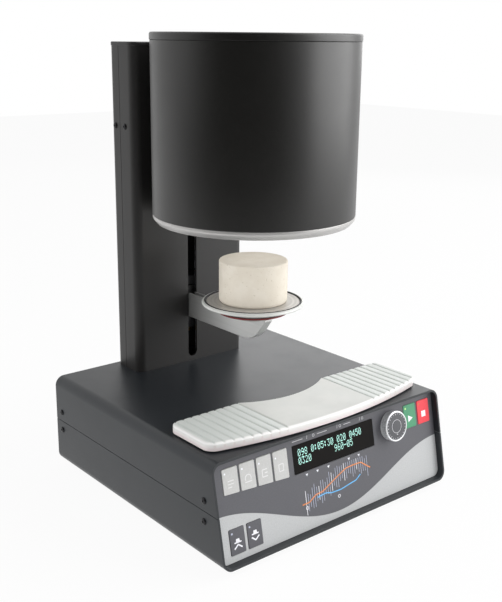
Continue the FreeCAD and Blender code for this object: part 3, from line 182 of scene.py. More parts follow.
def turnedMarks(tree, place, fineness):
    # noise along the distance from the Z axis and along Z, nearly constant round the circle
    x, y, z = partsOf(tree, place)
    distance = calculate(tree, "MULTIPLY", vectorOf(tree, "LENGTH", vectorFrom(tree, x, y)), fineness)
    turn = calculate(tree, "MULTIPLY", calculate(tree, "ARCTAN2", y, x), 0.6)
    rings = vectorFrom(tree, distance, turn, calculate(tree, "MULTIPLY", z, fineness))
    return {"Height": noiseOf(tree, rings, 1.0, 3.0, 0.6), "Tone": noiseOf(tree, rings, 0.2, 2.0)}


def handling(tree, place, patch):
    # smudge: broad soft patches; speck: few fine grains of dust, where a high noise peaks
    return {"Smudge": rampUp(tree, noiseOf(tree, place, patch, 4.0, 0.6), 0.42, 0.72),
            "Speck": rampUp(tree, noiseOf(tree, place, 1400.0, 1.0), 0.73, 0.8)}


def pores(tree, place, fineness):
    # pits where the distance to scattered points is small, each point with its own size
    wobble = addNode(tree, "ShaderNodeTexNoise", {"Vector": place, "Scale": 900.0})["Color"]
    moved = vectorOf(tree, "ADD", place, vectorOf(tree, "MULTIPLY", wobble, (0.0006,) * 3))
    cells = addNode(tree, "ShaderNodeTexVoronoi", {"Vector": moved, "Scale": fineness})
    size = addNode(tree, "ShaderNodeSeparateColor", {0: cells["Color"]})[0]
    reach = rampUp(tree, size, 0.55, 1.0, 0.02, 0.34, "LINEAR")
    share = calculate(tree, "DIVIDE", cells["Distance"], reach)
    return {"Pit": rampUp(tree, share, 0.5, 1.1, 1.0, 0.0), "Tone": noiseOf(tree, place, 70.0, 5.0, 0.6)}


panel = {
    "lean": 11.5,  # degrees back from upright
    "foilSheet": 0.4,
    "foilRise": 3.65,  # foil's lower edge above the panel's zero line, up the slope
}
leanSine = math.sin(math.radians(panel["lean"]))
leanCosine = math.cos(math.radians(panel["lean"]))
panelAxes = np.array(((1.0, 0.0, 0.0), (0.0, leanSine, leanCosine), (0.0, -leanCosine, leanSine)))
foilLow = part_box("keypad_foil")[0]
panelZero = np.array((0.0, foilLow.y, foilLow.z + panel["foilSheet"] * mm * leanSine))
panelZero = panelZero - panelAxes[1] * panel["foilRise"] * mm


def panelPlace(tree):
    # Object coordinates turned into metres across, up the slope and out of the front panel
    local = vectorOf(tree, "SUBTRACT", objectPlace(tree), tuple(panelZero))
    shares = [vectorOf(tree, "DOT_PRODUCT", local, tuple(axis)) for axis in panelAxes]
    return {"Vector": vectorFrom(tree, *shares)}


def addSocket(tree, name, direction):
    kind = "NodeSocketVector" if name in ("Vector", "Stretch") else "NodeSocketFloat"
    tree.interface.new_socket(name=name, in_out=direction, socket_type=kind)


def makeGroup(build, *given):
    # a group with the function's name: its inputs go to the function, what that returns are its outputs
    tree = bpy.data.node_groups.new(build.__name__, "ShaderNodeTree")
    for name in given:
        addSocket(tree, name, "INPUT")
    made = build(tree, *tree.nodes.new("NodeGroupInput").outputs[:len(given)])
    for name in made:
        addSocket(tree, name, "OUTPUT")
    addNode(tree, "NodeGroupOutput", made)
    return tree


groups = {
    "paintTexture": makeGroup(paintTexture, "Vector", "Fineness"),
    "brushMarks": makeGroup(brushMarks, "Vector", "Stretch"),
    "turnedMarks": makeGroup(turnedMarks, "Vector", "Fineness"),
    "handling": makeGroup(handling, "Vector", "Patch"),
    "pores": makeGroup(pores, "Vector", "Fineness"),
    "panelPlace": makeGroup(panelPlace),
}


def grouped(tree, name, **inputs):
    return addNode(tree, "ShaderNodeGroup", inputs, node_tree=groups[name])


# Materials

def startMaterial(name):
    material = bpy.data.materials.new(name)
    material.use_nodes = True
    return material, material.node_tree


def feedShader(material, sockets):
    tree = material.node_tree
    for name, value in sockets.items():
        feed(tree, tree.nodes["Principled BSDF"].inputs[name], value)
    return material


def finishMaterial(material, colour, roughness, height, depth, metallic=0.0, specular=0.5):
    bump = {"Height": height, "Distance": depth, "Strength": 1.0}
    return feedShader(material, {
        "Base Color": colour, "Roughness": roughness, "Metallic": metallic, "Specular IOR Level": specular,
        "Normal": addNode(material.node_tree, "ShaderNodeBump", bump)[0]})


def tinted(colour, share, lift=0.0):
    return tuple(channel * share + lift for channel in colour)


paints = {
    # colour, roughness, fineness of the texture in 1/m, depth of the texture in metres, specular level
    "black_paint": ((0.0165, 0.0157, 0.0153), 0.40, 2300.0, 0.000012, 0.5),
    "basePaint": ((0.0165, 0.0195, 0.0230), 0.35, 2300.0, 0.000012, 0.47),
    "drum_paint": ((0.0066, 0.0062, 0.0054), 0.35, 1500.0, 0.000004, 0.64),
    "motor_black": ((0.02, 0.02, 0.022), 0.38, 2300.0, 0.00001, 0.5),
    "transformer_core": ((0.13, 0.115, 0.10), 0.45, 900.0, 0.00005, 0.5),
    "connector_black": ((0.012, 0.012, 0.013), 0.34, 3000.0, 0.000005, 0.5),
    "knob_dark": ((0.080, 0.081, 0.090), 0.40, 3000.0, 0.000003, 0.5),
    "black_rubber": ((0.014, 0.014, 0.014), 0.62, 1800.0, 0.00001, 0.4),
    "sealRubber": ((0.011, 0.011, 0.012), 0.5, 2000.0, 0.00001, 0.45),
    "key_light": ((0.545, 0.545, 0.535), 0.46, 2000.0, 0.000003, 0.45),
    "key_dark": ((0.094, 0.094, 0.106), 0.44, 2000.0, 0.000003, 0.45),
    "key_green": ((0.075, 0.30, 0.16), 0.44, 2000.0, 0.000003, 0.45),
    "key_red": ((0.83, 0.055, 0.075), 0.44, 2000.0, 0.000003, 0.45),
    "printWhite": ((0.90, 0.90, 0.95), 0.5, 3000.0, 0.000002, 0.4),
    "printPale": ((0.72, 0.72, 0.72), 0.5, 3000.0, 0.000002, 0.4),
    "printGrey": ((0.50, 0.53, 0.66), 0.5, 3000.0, 0.000002, 0.4),
    "printOrange": ((0.80, 0.27, 0.08), 0.5, 3000.0, 0.000002, 0.4),
    "printBlue": ((0.15, 0.50, 0.88), 0.5, 3000.0, 0.000002, 0.4),
    "dialPrint": ((0.70, 0.70, 0.72), 0.5, 3000.0, 0.000002, 0.4),
}


def paintMaterial(name):
    # broad tone shifts the colour by a few percent, smudges make it duller, grains of dust are pale
    colour, roughness, fineness, depth, specular = paints[name]
    material, tree = startMaterial(name)
    place = objectPlace(tree)
    texture = grouped(tree, "paintTexture", Vector=place, Fineness=fineness)
    touch = grouped(tree, "handling", Vector=place, Patch=26.0)
    tone = rampUp(tree, texture["Tone"], 0.3, 0.7)
    toned = mixColours(tree, tone, tinted(colour, 0.97), tinted(colour, 1.03, 0.0008))
    speck = calculate(tree, "MULTIPLY", touch["Speck"], 0.35)
    dusty = mixColours(tree, speck, toned, tinted(colour, 0.75, 0.06))
    rough = rampUp(tree, touch["Smudge"], 0.0, 1.0, roughness - 0.01, roughness + 0.02, "LINEAR")
    rough = calculate(tree, "MULTIPLY_ADD", texture["Tone"], 0.05, rough)
    return finishMaterial(material, dusty, rough, texture["Height"], depth, specular=specular)


gasket = {
    "colour": (0.19, 0.016, 0.017),
    # colour of the painted shade under the dish's rim
    "underRimShade": (0.030, 0.012, 0.012),
    "clean": 0.35,  # share of the height up to which it keeps its own colour, and from which it is all painted shade
    "fullShade": 0.8,
}


def gasketMaterial(name):
    # red silicone with painted shade, darker towards its upper edge in the shade under the dish's rim
    material, tree = startMaterial(name)
    place = objectPlace(tree)
    texture = grouped(tree, "paintTexture", Vector=place, Fineness=1400.0)
    low, high = (corner.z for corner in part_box("dish_gasket"))
    clean, fullShade = (low + gasket[share] * (high - low) for share in ("clean", "fullShade"))
    tone = rampUp(tree, texture["Tone"], 0.3, 0.7)
    toned = mixColours(tree, tone, tinted(gasket["colour"], 0.92), gasket["colour"])
    # painted shade: the colour darkens with the height towards the dish's rim
    underShaded = mixColours(tree, rampUp(tree, partsOf(tree, place)["Z"], clean, fullShade), toned, gasket["underRimShade"])
    rough = rampUp(tree, texture["Tone"], 0.2, 0.8, 0.43, 0.51)
    return finishMaterial(material, underShaded, rough, texture["Height"], 0.00001)


metals = {
    # colour, roughness, marks: stretch for brushed or fineness for turned, depth in metres, share of change,
    # metallic share
    "panel_aluminium": ((0.62, 0.62, 0.63), 0.36, (40.0, 3000.0, 3000.0), 0.000004, 0.10, 0.9),
    "zinc_steel": ((0.56, 0.57, 0.60), 0.34, (900.0, 900.0, 120.0), 0.00001, 0.16, 0.9),
    "dark_screws": ((0.028, 0.028, 0.030), 0.30, 5000.0, 0.000004, 0.2, 0.8),
    "brass": ((0.70, 0.50, 0.21), 0.27, 3500.0, 0.000004, 0.1, 1.0),
    "ground_steel": ((0.63, 0.64, 0.66), 0.16, (3000.0, 3000.0, 60.0), 0.000002, 0.08, 1.0),
    "lift_aluminium": ((0.60, 0.595, 0.58), 0.36, (2600.0, 60.0, 2600.0), 0.000003, 0.03, 0.45),
    # the lift arm: painted light and shade, bright at the nose and darker towards the column
    "armFinish": ((0.66, 0.665, 0.655), 0.36, (2600.0, 60.0, 2600.0), 0.000003, 0.03, 0.35),
    # painted shade on the carriage and rod blocks, seen through the column's slot
    "darkCarriage": ((0.045, 0.045, 0.047), 0.40, (2600.0, 60.0, 2600.0), 0.000003, 0.1, 0.5),
    "dishAluminium": ((0.68, 0.69, 0.665), 0.32, 3600.0, 0.000004, 0.06, 0.1),
    "plateAluminium": ((0.55, 0.53, 0.50), 0.46, 2200.0, 0.000004, 0.12, 0.35),
    "bright_ring": ((0.50, 0.49, 0.48), 0.36, 3800.0, 0.000004, 0.06, 0.55),
    "knob_metal": ((0.90, 0.91, 0.93), 0.27, (2600.0, 2600.0, 90.0), 0.000003, 0.06, 0.45),
    "heating_wire": ((0.20, 0.17, 0.155), 0.5, (900.0, 900.0, 900.0), 0.00002, 0.3, 0.8),
}
arm = {
    # painted shade of the arm near the column
    "root": (0.26, 0.26, 0.255),
    "insideShade": (0.012, 0.012, 0.012),  # painted shade on the part inside the column
    "noseLength": 30.0,  # millimetres from the nose that keep the nose's colour
    "change": 0.4,  # half the width of the change at the column's front
}


def armColour(tree, place, nose):
    # painted light and shade: from the nose's colour to the root's darker one with the distance to the
    # column, and nearly black inside it
    along = partsOf(tree, place)["Y"]
    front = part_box("column_front_cover")[0].y
    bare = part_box("lift_arm")[0].y + arm["noseLength"] * mm
    shown = mixColours(tree, rampUp(tree, along, bare, front), nose, arm["root"])
    inside = rampUp(tree, along, front - arm["change"] * mm, front + arm["change"] * mm)
    return mixColours(tree, inside, shown, arm["insideShade"])


def metalMaterial(name):
    # fine lines, brushed or turned about the dish's axis, change height, roughness and slightly the colour
    colour, roughness, marks, depth, change, metallic = metals[name]
    material, tree = startMaterial(name)
    place = objectPlace(tree)
    if isinstance(marks, tuple):
        lines = grouped(tree, "brushMarks", Vector=place, Stretch=marks)
    else:
        low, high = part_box("dish")
        centred = vectorOf(tree, "SUBTRACT", place, tuple((low + high) / 2))
        lines = grouped(tree, "turnedMarks", Vector=centred, Fineness=marks)
    touch = grouped(tree, "handling", Vector=place, Patch=34.0)
    if name == "armFinish":
        # the arm's painted light and shade along its length
        colour = armColour(tree, place, colour)
    toned = scaled(tree, colour, rampUp(tree, lines["Tone"], 0.3, 0.7, 1 - change, 1 + change))
    rough = rampUp(tree, lines["Height"], 0.3, 0.7, roughness - 0.04, roughness + 0.06, "LINEAR")
    rough = calculate(tree, "MULTIPLY_ADD", touch["Smudge"], 0.07, rough)
    return finishMaterial(material, toned, rough, lines["Height"], depth, metallic)


foilPrint = {
    "dark": (0.100, 0.100, 0.112),
    "light": (0.50, 0.51, 0.515),
    "middle": 26.6,  # millimetres up the slope of the wave's mean line
    "swing": 17.2,
    "halfWave": 134.0,
    "softEdge": 0.12,
}


def foilMaterial(name):
    # light print below the line: middle minus swing times the cosine of pi times across over half a wave
    material, tree = startMaterial(name)
    place = grouped(tree, "panelPlace")["Vector"]
    parts = partsOf(tree, place)
    phase = calculate(tree, "MULTIPLY", parts["X"], math.pi / (foilPrint["halfWave"] * mm))
    wave = calculate(tree, "MULTIPLY", calculate(tree, "COSINE", phase), foilPrint["swing"] * mm)
    above = calculate(tree, "ADD", calculate(tree, "SUBTRACT", parts["Y"], foilPrint["middle"] * mm), wave)
    edge = foilPrint["softEdge"] * mm
    printed = mixColours(tree, rampUp(tree, above, -edge, edge), foilPrint["light"], foilPrint["dark"])
    texture = grouped(tree, "paintTexture", Vector=place, Fineness=2600.0)
    touch = grouped(tree, "handling", Vector=place, Patch=18.0)
    toned = scaled(tree, printed, rampUp(tree, texture["Tone"], 0.3, 0.7, 0.95, 1.05, "LINEAR"))
    rough = rampUp(tree, touch["Smudge"], 0.0, 1.0, 0.40, 0.50, "LINEAR")
    return finishMaterial(material, toned, rough, texture["Height"], 0.000004, specular=0.45)


windowTones = ((0.0060, 0.0050, 0.0048), (0.0100, 0.0088, 0.0082))


def windowMaterial(name):
    # smoked gloss with faint wiped patches in its roughness and a slow waviness in its height
    material, tree = startMaterial(name)
    place = grouped(tree, "panelPlace")["Vector"]
    touch = grouped(tree, "handling", Vector=place, Patch=60.0)
    tone = noiseOf(tree, place, 40.0)
    colour = mixColours(tree, tone, *windowTones)
    rough = rampUp(tree, touch["Smudge"], 0.0, 1.0, 0.08, 0.16, "LINEAR")
    return finishMaterial(material, colour, rough, tone, 0.00001, specular=0.10)


glows = {
    # colour, strength
    "digitGlow": ((0.50, 0.92, 0.82), 1.2),
    "lampGreen": ((0.62, 0.95, 0.30), 0.8),
    "lampAmber": ((0.95, 0.30, 0.08), 0.5),
}


def glowMaterial(name):
    # lit dots: brighter in the middle of a slow noise, as phosphor ages unevenly
    colour, strength = glows[name]
    material, tree = startMaterial(name)
    tone = noiseOf(tree, objectPlace(tree), 260.0)
    return feedShader(material, {
        "Emission Color": mixColours(tree, tone, tinted(colour, 0.8), colour),
        "Base Color": mixColours(tree, tone, tinted(colour, 0.2), tinted(colour, 0.3)),
        "Emission Strength": strength, "Roughness": 0.5})


minerals = {
    # colour, darker tone, colour in the pits, roughness, fineness of the pores in 1/m, depth in metres
    "firebrick": ((0.80, 0.745, 0.650), (0.76, 0.70, 0.600), (0.60, 0.54, 0.43), 0.86, 420.0, 0.00014),
    "fibre_board": ((0.80, 0.78, 0.72), (0.70, 0.68, 0.62), (0.5, 0.47, 0.4), 0.95, 300.0, 0.0005),
    "alumina": ((0.78, 0.75, 0.66), (0.70, 0.66, 0.57), (0.55, 0.5, 0.42), 0.7, 900.0, 0.00008),
}


def mineralMaterial(name):
    # pale body with slow toning, darker open pores that are pits in the height as well
    colour, darker, pitColour, roughness, fineness, depth = minerals[name]
    material, tree = startMaterial(name)
    place = objectPlace(tree)
    holes = grouped(tree, "pores", Vector=place, Fineness=fineness)
    grain = grouped(tree, "paintTexture", Vector=place, Fineness=fineness * 5)
    body = mixColours(tree, rampUp(tree, holes["Tone"], 0.36, 0.66), darker, colour)
    pitted = mixColours(tree, calculate(tree, "MULTIPLY", holes["Pit"], 0.55), body, pitColour)
    sunk = calculate(tree, "MULTIPLY", holes["Pit"], -1.0)
    height = calculate(tree, "MULTIPLY_ADD", grain["Height"], 0.35, sunk)
    return finishMaterial(material, pitted, roughness, height, depth, specular=0.25)


glaze = {
    "body": ((0.63, 0.64, 0.61), (0.66, 0.665, 0.635)),
    "worn": (0.60, 0.60, 0.585),
}
# a tint on the ribs, painted shade on the wall and a painted highlight on the rim
glazeTints = {
    "ribShare": (0.69, 0.72, 0.695),
    "wallShadeShare": (0.76, 0.69, 0.685),
    "rimHighlightShare": (0.90, 0.89, 0.88),
}


def trayMaterial(name):
    # pale satin glaze with slow clouding and faint greying in smudges, tinted where the mesh's shares mark
    # the ribs, with painted shade on the wall and a painted highlight on the rim, which is glossier too
    material, tree = startMaterial(name)
    place = objectPlace(tree)
    texture = grouped(tree, "paintTexture", Vector=place, Fineness=700.0)
    touch = grouped(tree, "handling", Vector=place, Patch=30.0)
    body = mixColours(tree, rampUp(tree, noiseOf(tree, place, 45.0, 4.0), 0.35, 0.65), *glaze["body"])
    colour = mixColours(tree, calculate(tree, "MULTIPLY", touch["Smudge"], 0.25), body, glaze["worn"])
    for part, tint in glazeTints.items():
        share = addNode(tree, "ShaderNodeAttribute", attribute_name=part)["Fac"]
        colour = mixColours(tree, share, colour, tint)
    dull = rampUp(tree, touch["Smudge"], 0.0, 1.0, 0.34, 0.46, "LINEAR")
    rough = calculate(tree, "MULTIPLY_ADD", share, -0.14, dull)
    return finishMaterial(material, colour, rough, texture["Height"], 0.00001, specular=0.3)


def boardMaterial(name):
    # green lacquer over copper tracks: a brick pattern gives the paths, a noise darkens them
    material, tree = startMaterial(name)
    place = objectPlace(tree)
    tracks = addNode(tree, "ShaderNodeTexBrick", {
        "Vector": place, "Scale": 90.0, "Color1": (0.012, 0.12, 0.045, 1), "Color2": (0.02, 0.15, 0.06, 1),
        "Mortar": (0.06, 0.22, 0.08, 1), "Mortar Size": 0.03})
    tone = noiseOf(tree, place, 200.0)
    shaded = mixColours(tree, tone, tracks["Color"], (0.01, 0.09, 0.04))
    rough = rampUp(tree, tone, 0.3, 0.7, 0.28, 0.42)
    return finishMaterial(material, shaded, rough, tracks["Fac"], 0.00003)


materials = {}
for make, names in ((paintMaterial, paints), (metalMaterial, metals), (mineralMaterial, minerals),
                    (glowMaterial, glows), (gasketMaterial, ["red_silicone"]), (foilMaterial, ["foil"]),
                    (windowMaterial, ["smoked_window"]), (trayMaterial, ["tray_white"]),
                    (boardMaterial, ["circuit_board"])):
    materials.update({name: make(name) for name in names})
print("materials ready")


# Floor, backdrop and lamps

studio = {
    "floorSize": 8.0,
    "floorLevel": -0.0003,
    "floorColour": (0.90, 0.90, 0.90),
    "backgroundShare": 0.94,  # how much of the floor's own white shows instead of its lit colour
    "worldLight": 0.36,
    "cameraSide": (-0.78, -0.62, 0.22),  # direction in which the room is dark
    "darkest": 0.04,
    "darkFrom": 0.30,  # share of that direction where the room starts to darken
    "darkFull": 0.88,
    "floorDarkFrom": 0.30,  # metres towards the dark side
    "floorDarkFull": 0.95,
}

lamps = {
    # place, aim, size in metres, watts, seen in gloss
    "overheadBox": ((0.75, -0.30, 1.35), (0.0, 0.0, 0.15), (0.9, 0.9), 6.0, True),
    "leftPanel": ((-1.5, 0.35, 0.50), (0.0, 0.0, 0.2), (0.7, 1.0), 9.5, False),
    "rightPanel": ((1.25, -1.00, 0.75), (0.0, 0.0, 0.2), (1.9, 1.3), 25.0, True),
    "rearPanel": ((1.65, 1.20, 0.80), (0.0, 0.0, 0.1), (1.5, 0.9), 5.6, True),
    "lowFill": ((-0.75, -1.35, 0.45), (0.0, 0.0, 0.2), (0.8, 0.3), 3.6, False),
    "boreLamp": ((0.0, -0.0033, 0.262), (0.0, -0.0033001, 0.1), (0.076, 0.076), 0.019, True),
}


def mixShaders(tree, share, first, second):
    return addNode(tree, "ShaderNodeMixShader", {0: share, 1: first, 2: second})[0]


def darkening(tree, vector, direction, start, full):
    # white that darkens as the vector's part along the direction grows from start to full
    along = vectorOf(tree, "DOT_PRODUCT", vector, tuple(unit(direction)))
    return rampUp(tree, along, start, full, 1.0, studio["darkest"])


def raysOf(tree):
    # shares of the rays that see the background itself, and of those that see it in gloss
    path = addNode(tree, "ShaderNodeLightPath")
    seen = calculate(tree, "MAXIMUM", path["Is Camera Ray"], path["Is Transmission Ray"])
    return seen, path["Is Glossy Ray"]


def floorMaterial():
    # camera: mostly plain white; gloss: white that darkens with the distance towards the dark side; else lit
    material, tree = startMaterial("floorWhite")
    tree.nodes.clear()
    seen, glossy = raysOf(tree)
    seen = calculate(tree, "MULTIPLY", seen, studio["backgroundShare"])
    shade = darkening(tree, objectPlace(tree), (*studio["cameraSide"][:2], 0.0), studio["floorDarkFrom"],
                      studio["floorDarkFull"])
    lit = addNode(tree, "ShaderNodeBsdfDiffuse", {"Color": (*studio["floorColour"], 1)})[0]
    plain, mirrored = (addNode(tree, "ShaderNodeEmission", {"Strength": value})[0] for value in (1.0, shade))
    surface = mixShaders(tree, glossy, mixShaders(tree, seen, lit, plain), mirrored)
    addNode(tree, "ShaderNodeOutputMaterial", {"Surface": surface})
    return material


def makeWorld():
    # camera: white; gloss: white that falls off towards the dark side of the room; light: plain
    world = bpy.data.worlds.new("studio")
    scene.world = world
    world.use_nodes = True
    tree = world.node_tree
    tree.nodes.clear()
    seen, glossy = raysOf(tree)
    ray = addNode(tree, "ShaderNodeTexCoord")["Generated"]
    shade = darkening(tree, ray, studio["cameraSide"], studio["darkFrom"], studio["darkFull"])
    lighting, mirrored, shown = (
        addNode(tree, "ShaderNodeBackground", {"Color": (1, 1, 1, 1), "Strength": value})[0]
        for value in (studio["worldLight"], shade, 1.0))
    surface = mixShaders(tree, seen, mixShaders(tree, glossy, lighting, mirrored), shown)
    addNode(tree, "ShaderNodeOutputWorld", {"Surface": surface})


def makeStudio():
    half, level = studio["floorSize"] / 2, studio["floorLevel"]
    corners = [(-half, -half, level), (half, -half, level), (half, half, level), (-half, half, level)]
    mesh = bpy.data.meshes.new("floor")
    mesh.from_pydata(corners, [], [(0, 1, 2, 3)])
    mesh.materials.append(floorMaterial())
    linkObject("floor", mesh)
    makeWorld()
    for name, (place, aim, size, watts, inGloss) in lamps.items():
        data = bpy.data.lights.new(name, "AREA")
        data.shape = "RECTANGLE"
        data.size, data.size_y = size
        data.energy = watts
        light = linkObject(name, data)
        light.visible_camera = False
        light.visible_glossy = inGloss
        ahead = unit(np.array(aim) - place)
        right = unit(np.cross(ahead, (0.0, 1.0, 0.0) if abs(ahead[2]) > 0.99 else (0.0, 0.0, 1.0)))
        setPlace(light, place, right, np.cross(right, ahead), -ahead)


makeCamera()
makeStudio()
print("studio ready")


# Shapes: pairs of points and faces

def gridFaces(rows, columns, wrapRows, wrapColumns):
    # quads between neighbouring points of a grid, whose rows or columns may join up
    down = np.arange(rows if wrapRows else rows - 1)
    across = np.arange(columns if wrapColumns else columns - 1)
    row, column = np.meshgrid(down, across, indexing="ij")
    nextRow, nextColumn = (row + 1) % rows, (column + 1) % columns
    corners = (row * columns + column, row * columns + nextColumn,
               nextRow * columns + nextColumn, nextRow * columns + column)
    return np.stack(corners, -1).reshape(-1, 4)


def roundedProfile(corners, steps=6):
    # outline through corners (radius, height, rounding): each rounding is an arc that touches both sides
    corners = np.array(corners, float)
    points = []
    for last, here, coming in zip(np.roll(corners, 1, 0), corners, np.roll(corners, -1, 0)):
        place, size = here[:2], here[2]
        if size <= 0:
            points.append(place[None])
            continue
        back, ahead = unit(last[:2] - place), unit(coming[:2] - place)
        half = math.acos(np.clip(back @ ahead, -1, 1)) / 2
        middle = place + unit(back + ahead) * size / math.sin(half)
        start, end = (place + side * size / math.tan(half) - middle for side in (back, ahead))
        sweep = math.pi - 2 * half
        share = np.linspace(0, 1, steps + 1)[:, None]
        bend = (np.sin((1 - share) * sweep) * start + np.sin(share * sweep) * end) / math.sin(sweep)
        points.append(middle + bend)
    return np.concatenate(points)


def filledProfile(profile, longest):
    # extra points on the straight runs, so that none is longer than the given step
    pieces = []
    for first, second in zip(profile[:-1], profile[1:]):
        count = max(1, math.ceil(np.linalg.norm(second - first) / longest))
        pieces.append(first + (second - first) * np.arange(count)[:, None] / count)
    return np.concatenate(pieces + [profile[-1:]])


def revolved(profile, segments):
    # radius and height of the profile carried round the Z axis; closed unless it starts and ends on the axis
    angles = np.linspace(0, 2 * math.pi, segments, endpoint=False)
    radius, height = profile[:, :1], profile[:, 1:2]
    points = np.stack((radius * np.cos(angles), radius * np.sin(angles), height + 0 * angles), -1)
    onAxis = profile[0, 0] < 1e-9 and profile[-1, 0] < 1e-9
    return points, gridFaces(len(profile), segments, not onAxis, True)


def roundPlaces(points):
    # turn about the Z axis, distance from it, and height
    x, y, level = np.moveaxis(points, -1, 0)
    return np.arctan2(y, x), np.hypot(x, y), level


def pressIn(points, distance, inward):
    # moves the points towards the Z axis
    points[..., :2] *= ((distance - inward) / np.maximum(distance, 1e-6))[..., None]


def onPanel(shape, across=0.0, up=0.0):
    # millimetres (across, up the slope, out) about a place on the front panel to metres in the frame
    points = np.asarray(shape[0], float) + (across, up, 0.0)
    return panelZero + points @ panelAxes * mm, shape[1]


def joined(parts):
    offset = 0
    allPoints, allFaces = [], []
    for points, faces in parts:
        points = np.asarray(points, float).reshape(-1, 3)
        allPoints.append(points)
        allFaces.extend((np.asarray(face) + offset).tolist() for face in faces)
        offset += len(points)
    return np.concatenate(allPoints), allFaces


def boxes(centres, halfSizes):
    # one box for each centre: its eight corners are the centre plus or minus the half sizes
    signs = np.array([(x, y, z) for x in (-1, 1) for y in (-1, 1) for z in (-1, 1)], float)
    points = np.asarray(centres, float).reshape(-1, 1, 3) + signs * np.asarray(halfSizes, float)
    faces = np.array([(0, 1, 3, 2), (4, 6, 7, 5), (0, 4, 5, 1), (2, 3, 7, 6), (0, 2, 6, 4), (1, 5, 7, 3)])
    return points.reshape(-1, 3), (np.arange(len(points))[:, None, None] * 8 + faces).reshape(-1, 4)


def strip(path, width, low, high, closed=False):
    # flat band of a given width along a path in the plane, as thick as high minus low
    path = np.asarray(path, float)
    run = np.roll(path, -1, 0) - np.roll(path, 1, 0) if closed else np.gradient(path, axis=0)
    run = run / np.linalg.norm(run, axis=1)[:, None]
    side = np.stack((-run[:, 1], run[:, 0]), -1) * width / 2
    left, right = path + side, path - side
    rows = [np.column_stack((edge, np.full(len(path), level)))
            for edge, level in ((left, low), (right, low), (right, high), (left, high))]
    faces = gridFaces(len(path), 4, closed, True).tolist()
    if not closed:
        last = (len(path) - 1) * 4
        faces += [[0, 1, 2, 3], [last + 3, last + 2, last + 1, last]]
    return np.stack(rows, 1).reshape(-1, 3), faces


def straight(x1, y1, x2, y2):
    return np.column_stack((np.linspace(x1, x2, 3), np.linspace(y1, y2, 3)))


def arc(x, y, radius, angles):
    return np.column_stack((x + radius * np.cos(angles), y + radius * np.sin(angles)))


def circle(x, y, radius, count):
    return arc(x, y, radius, np.linspace(0, 2 * math.pi, count, endpoint=False))


def polygon(corners, low, high):
    # prism over a plane outline
    corners = np.asarray(corners, float)
    count = len(corners)
    points = np.concatenate([np.column_stack((corners, np.full(count, level))) for level in (low, high)])
    around = np.arange(count)
    sides = np.stack((around, (around + 1) % count, (around + 1) % count + count, around + count), -1)
    return points, sides.tolist() + [around[::-1].tolist(), (around + count).tolist()]


# Pieces from shapes

def closeUp(work):
    bmesh.ops.remove_doubles(work, verts=work.verts, dist=1e-7)
    bmesh.ops.dissolve_degenerate(work, dist=1e-7, edges=work.edges)
    bmesh.ops.recalc_face_normals(work, faces=work.faces)


def joinFlats(work):
    bmesh.ops.remove_doubles(work, verts=work.verts, dist=2e-6)
    bmesh.ops.dissolve_limit(work, angle_limit=math.radians(0.4), verts=work.verts, edges=work.edges)


def addPiece(name, shape, node, material=None, sharpAngle=35.0, clean=closeUp):
    # a shape in metres on a node's body, with its slot's material unless another is named
    points, faces = shape
    mesh = bpy.data.meshes.new(name)
    mesh.from_pydata(np.asarray(points).reshape(-1, 3).tolist(), [], [list(face) for face in faces])
    work = bmesh.new()
    work.from_mesh(mesh)
    clean(work)
    work.to_mesh(mesh)
    work.free()
    mesh.shade_smooth()
    mesh.set_sharp_from_angle(angle=math.radians(sharpAngle))
    mesh.materials.append(materials[material or slotOf[node]])
    piece = linkObject(name, mesh)
    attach(piece, bodyOf[node])
    return piece


def standIn(name, shape, node, *finish):
    # a piece that is shown instead of a node; finish: material, sharp angle and cleaning
    piece = addPiece(name, shape, node, *finish)
    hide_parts(node)
    return piece


def pointsOf(mesh):
    places = np.empty(len(mesh.vertices) * 3)
    mesh.vertices.foreach_get("co", places)
    return places.reshape(-1, 3)


# Nodes whose own shape is right

easedEdges = {
    # node: millimetres of bevel
    "lower_shell": 0.55, "upper_shell": 0.55, "column_front_cover": 0.55, "column_rear_cover": 0.55,
    "column_cap": 0.5, "rear_panel": 0.2, "drum_bracket": 0.4, "lift_arm": 0.35, "power_inlet": 0.2,
    "power_switch": 0.0, "fuse_holders": 0.0, "vacuum_fitting": 0.0, "feet": 0.0, "column_spine": 0.3,
    "display_window": 0.0, "start_key": 0.0, "stop_key": 0.0, "lift_up_key": 0.0, "lift_down_key": 0.0,
    "programme_key_1": 0.0, "programme_key_2": 0.0, "programme_key_3": 0.0, "programme_key_4": 0.0,
}
# materials other than the node's slot: base paint, black paint on the side rails, painted light and shade on
# the arm, and painted shade on the carriage and rod blocks
ownFinishAndShade = {"lower_shell": "basePaint", "upper_shell": "basePaint", "lift_arm": "armFinish",
             "carriage": "darkCarriage", "rod_blocks": "darkCarriage", "side_rails": "black_paint"}


def easedCopy(node, edge):
    # the node's triangles with common corners merged and flat neighbours joined, and its edges bevelled
    source = nodes[node].data
    corners = np.empty(len(source.loops), np.int64)
    source.loops.foreach_get("vertex_index", corners)
    unique, index = np.unique(np.round(pointsOf(source), 7), axis=0, return_inverse=True)
    faces = index.reshape(-1)[corners].reshape(-1, 3)
    whole = (faces != np.roll(faces, 1, 1)).all(1)
    piece = standIn(node + "_skin", (unique, faces[whole]), node, ownFinishAndShade.get(node), 30.0, joinFlats)
    if edge > 0:
        bevel = piece.modifiers.new("easedEdges", "BEVEL")
        bevel.width = edge * mm
        bevel.segments = 2
        bevel.limit_method = "ANGLE"
        bevel.angle_limit = math.radians(40)


for name, edge in easedEdges.items():
    easedCopy(name, edge)
print("sheet metal, keys and fittings ready")

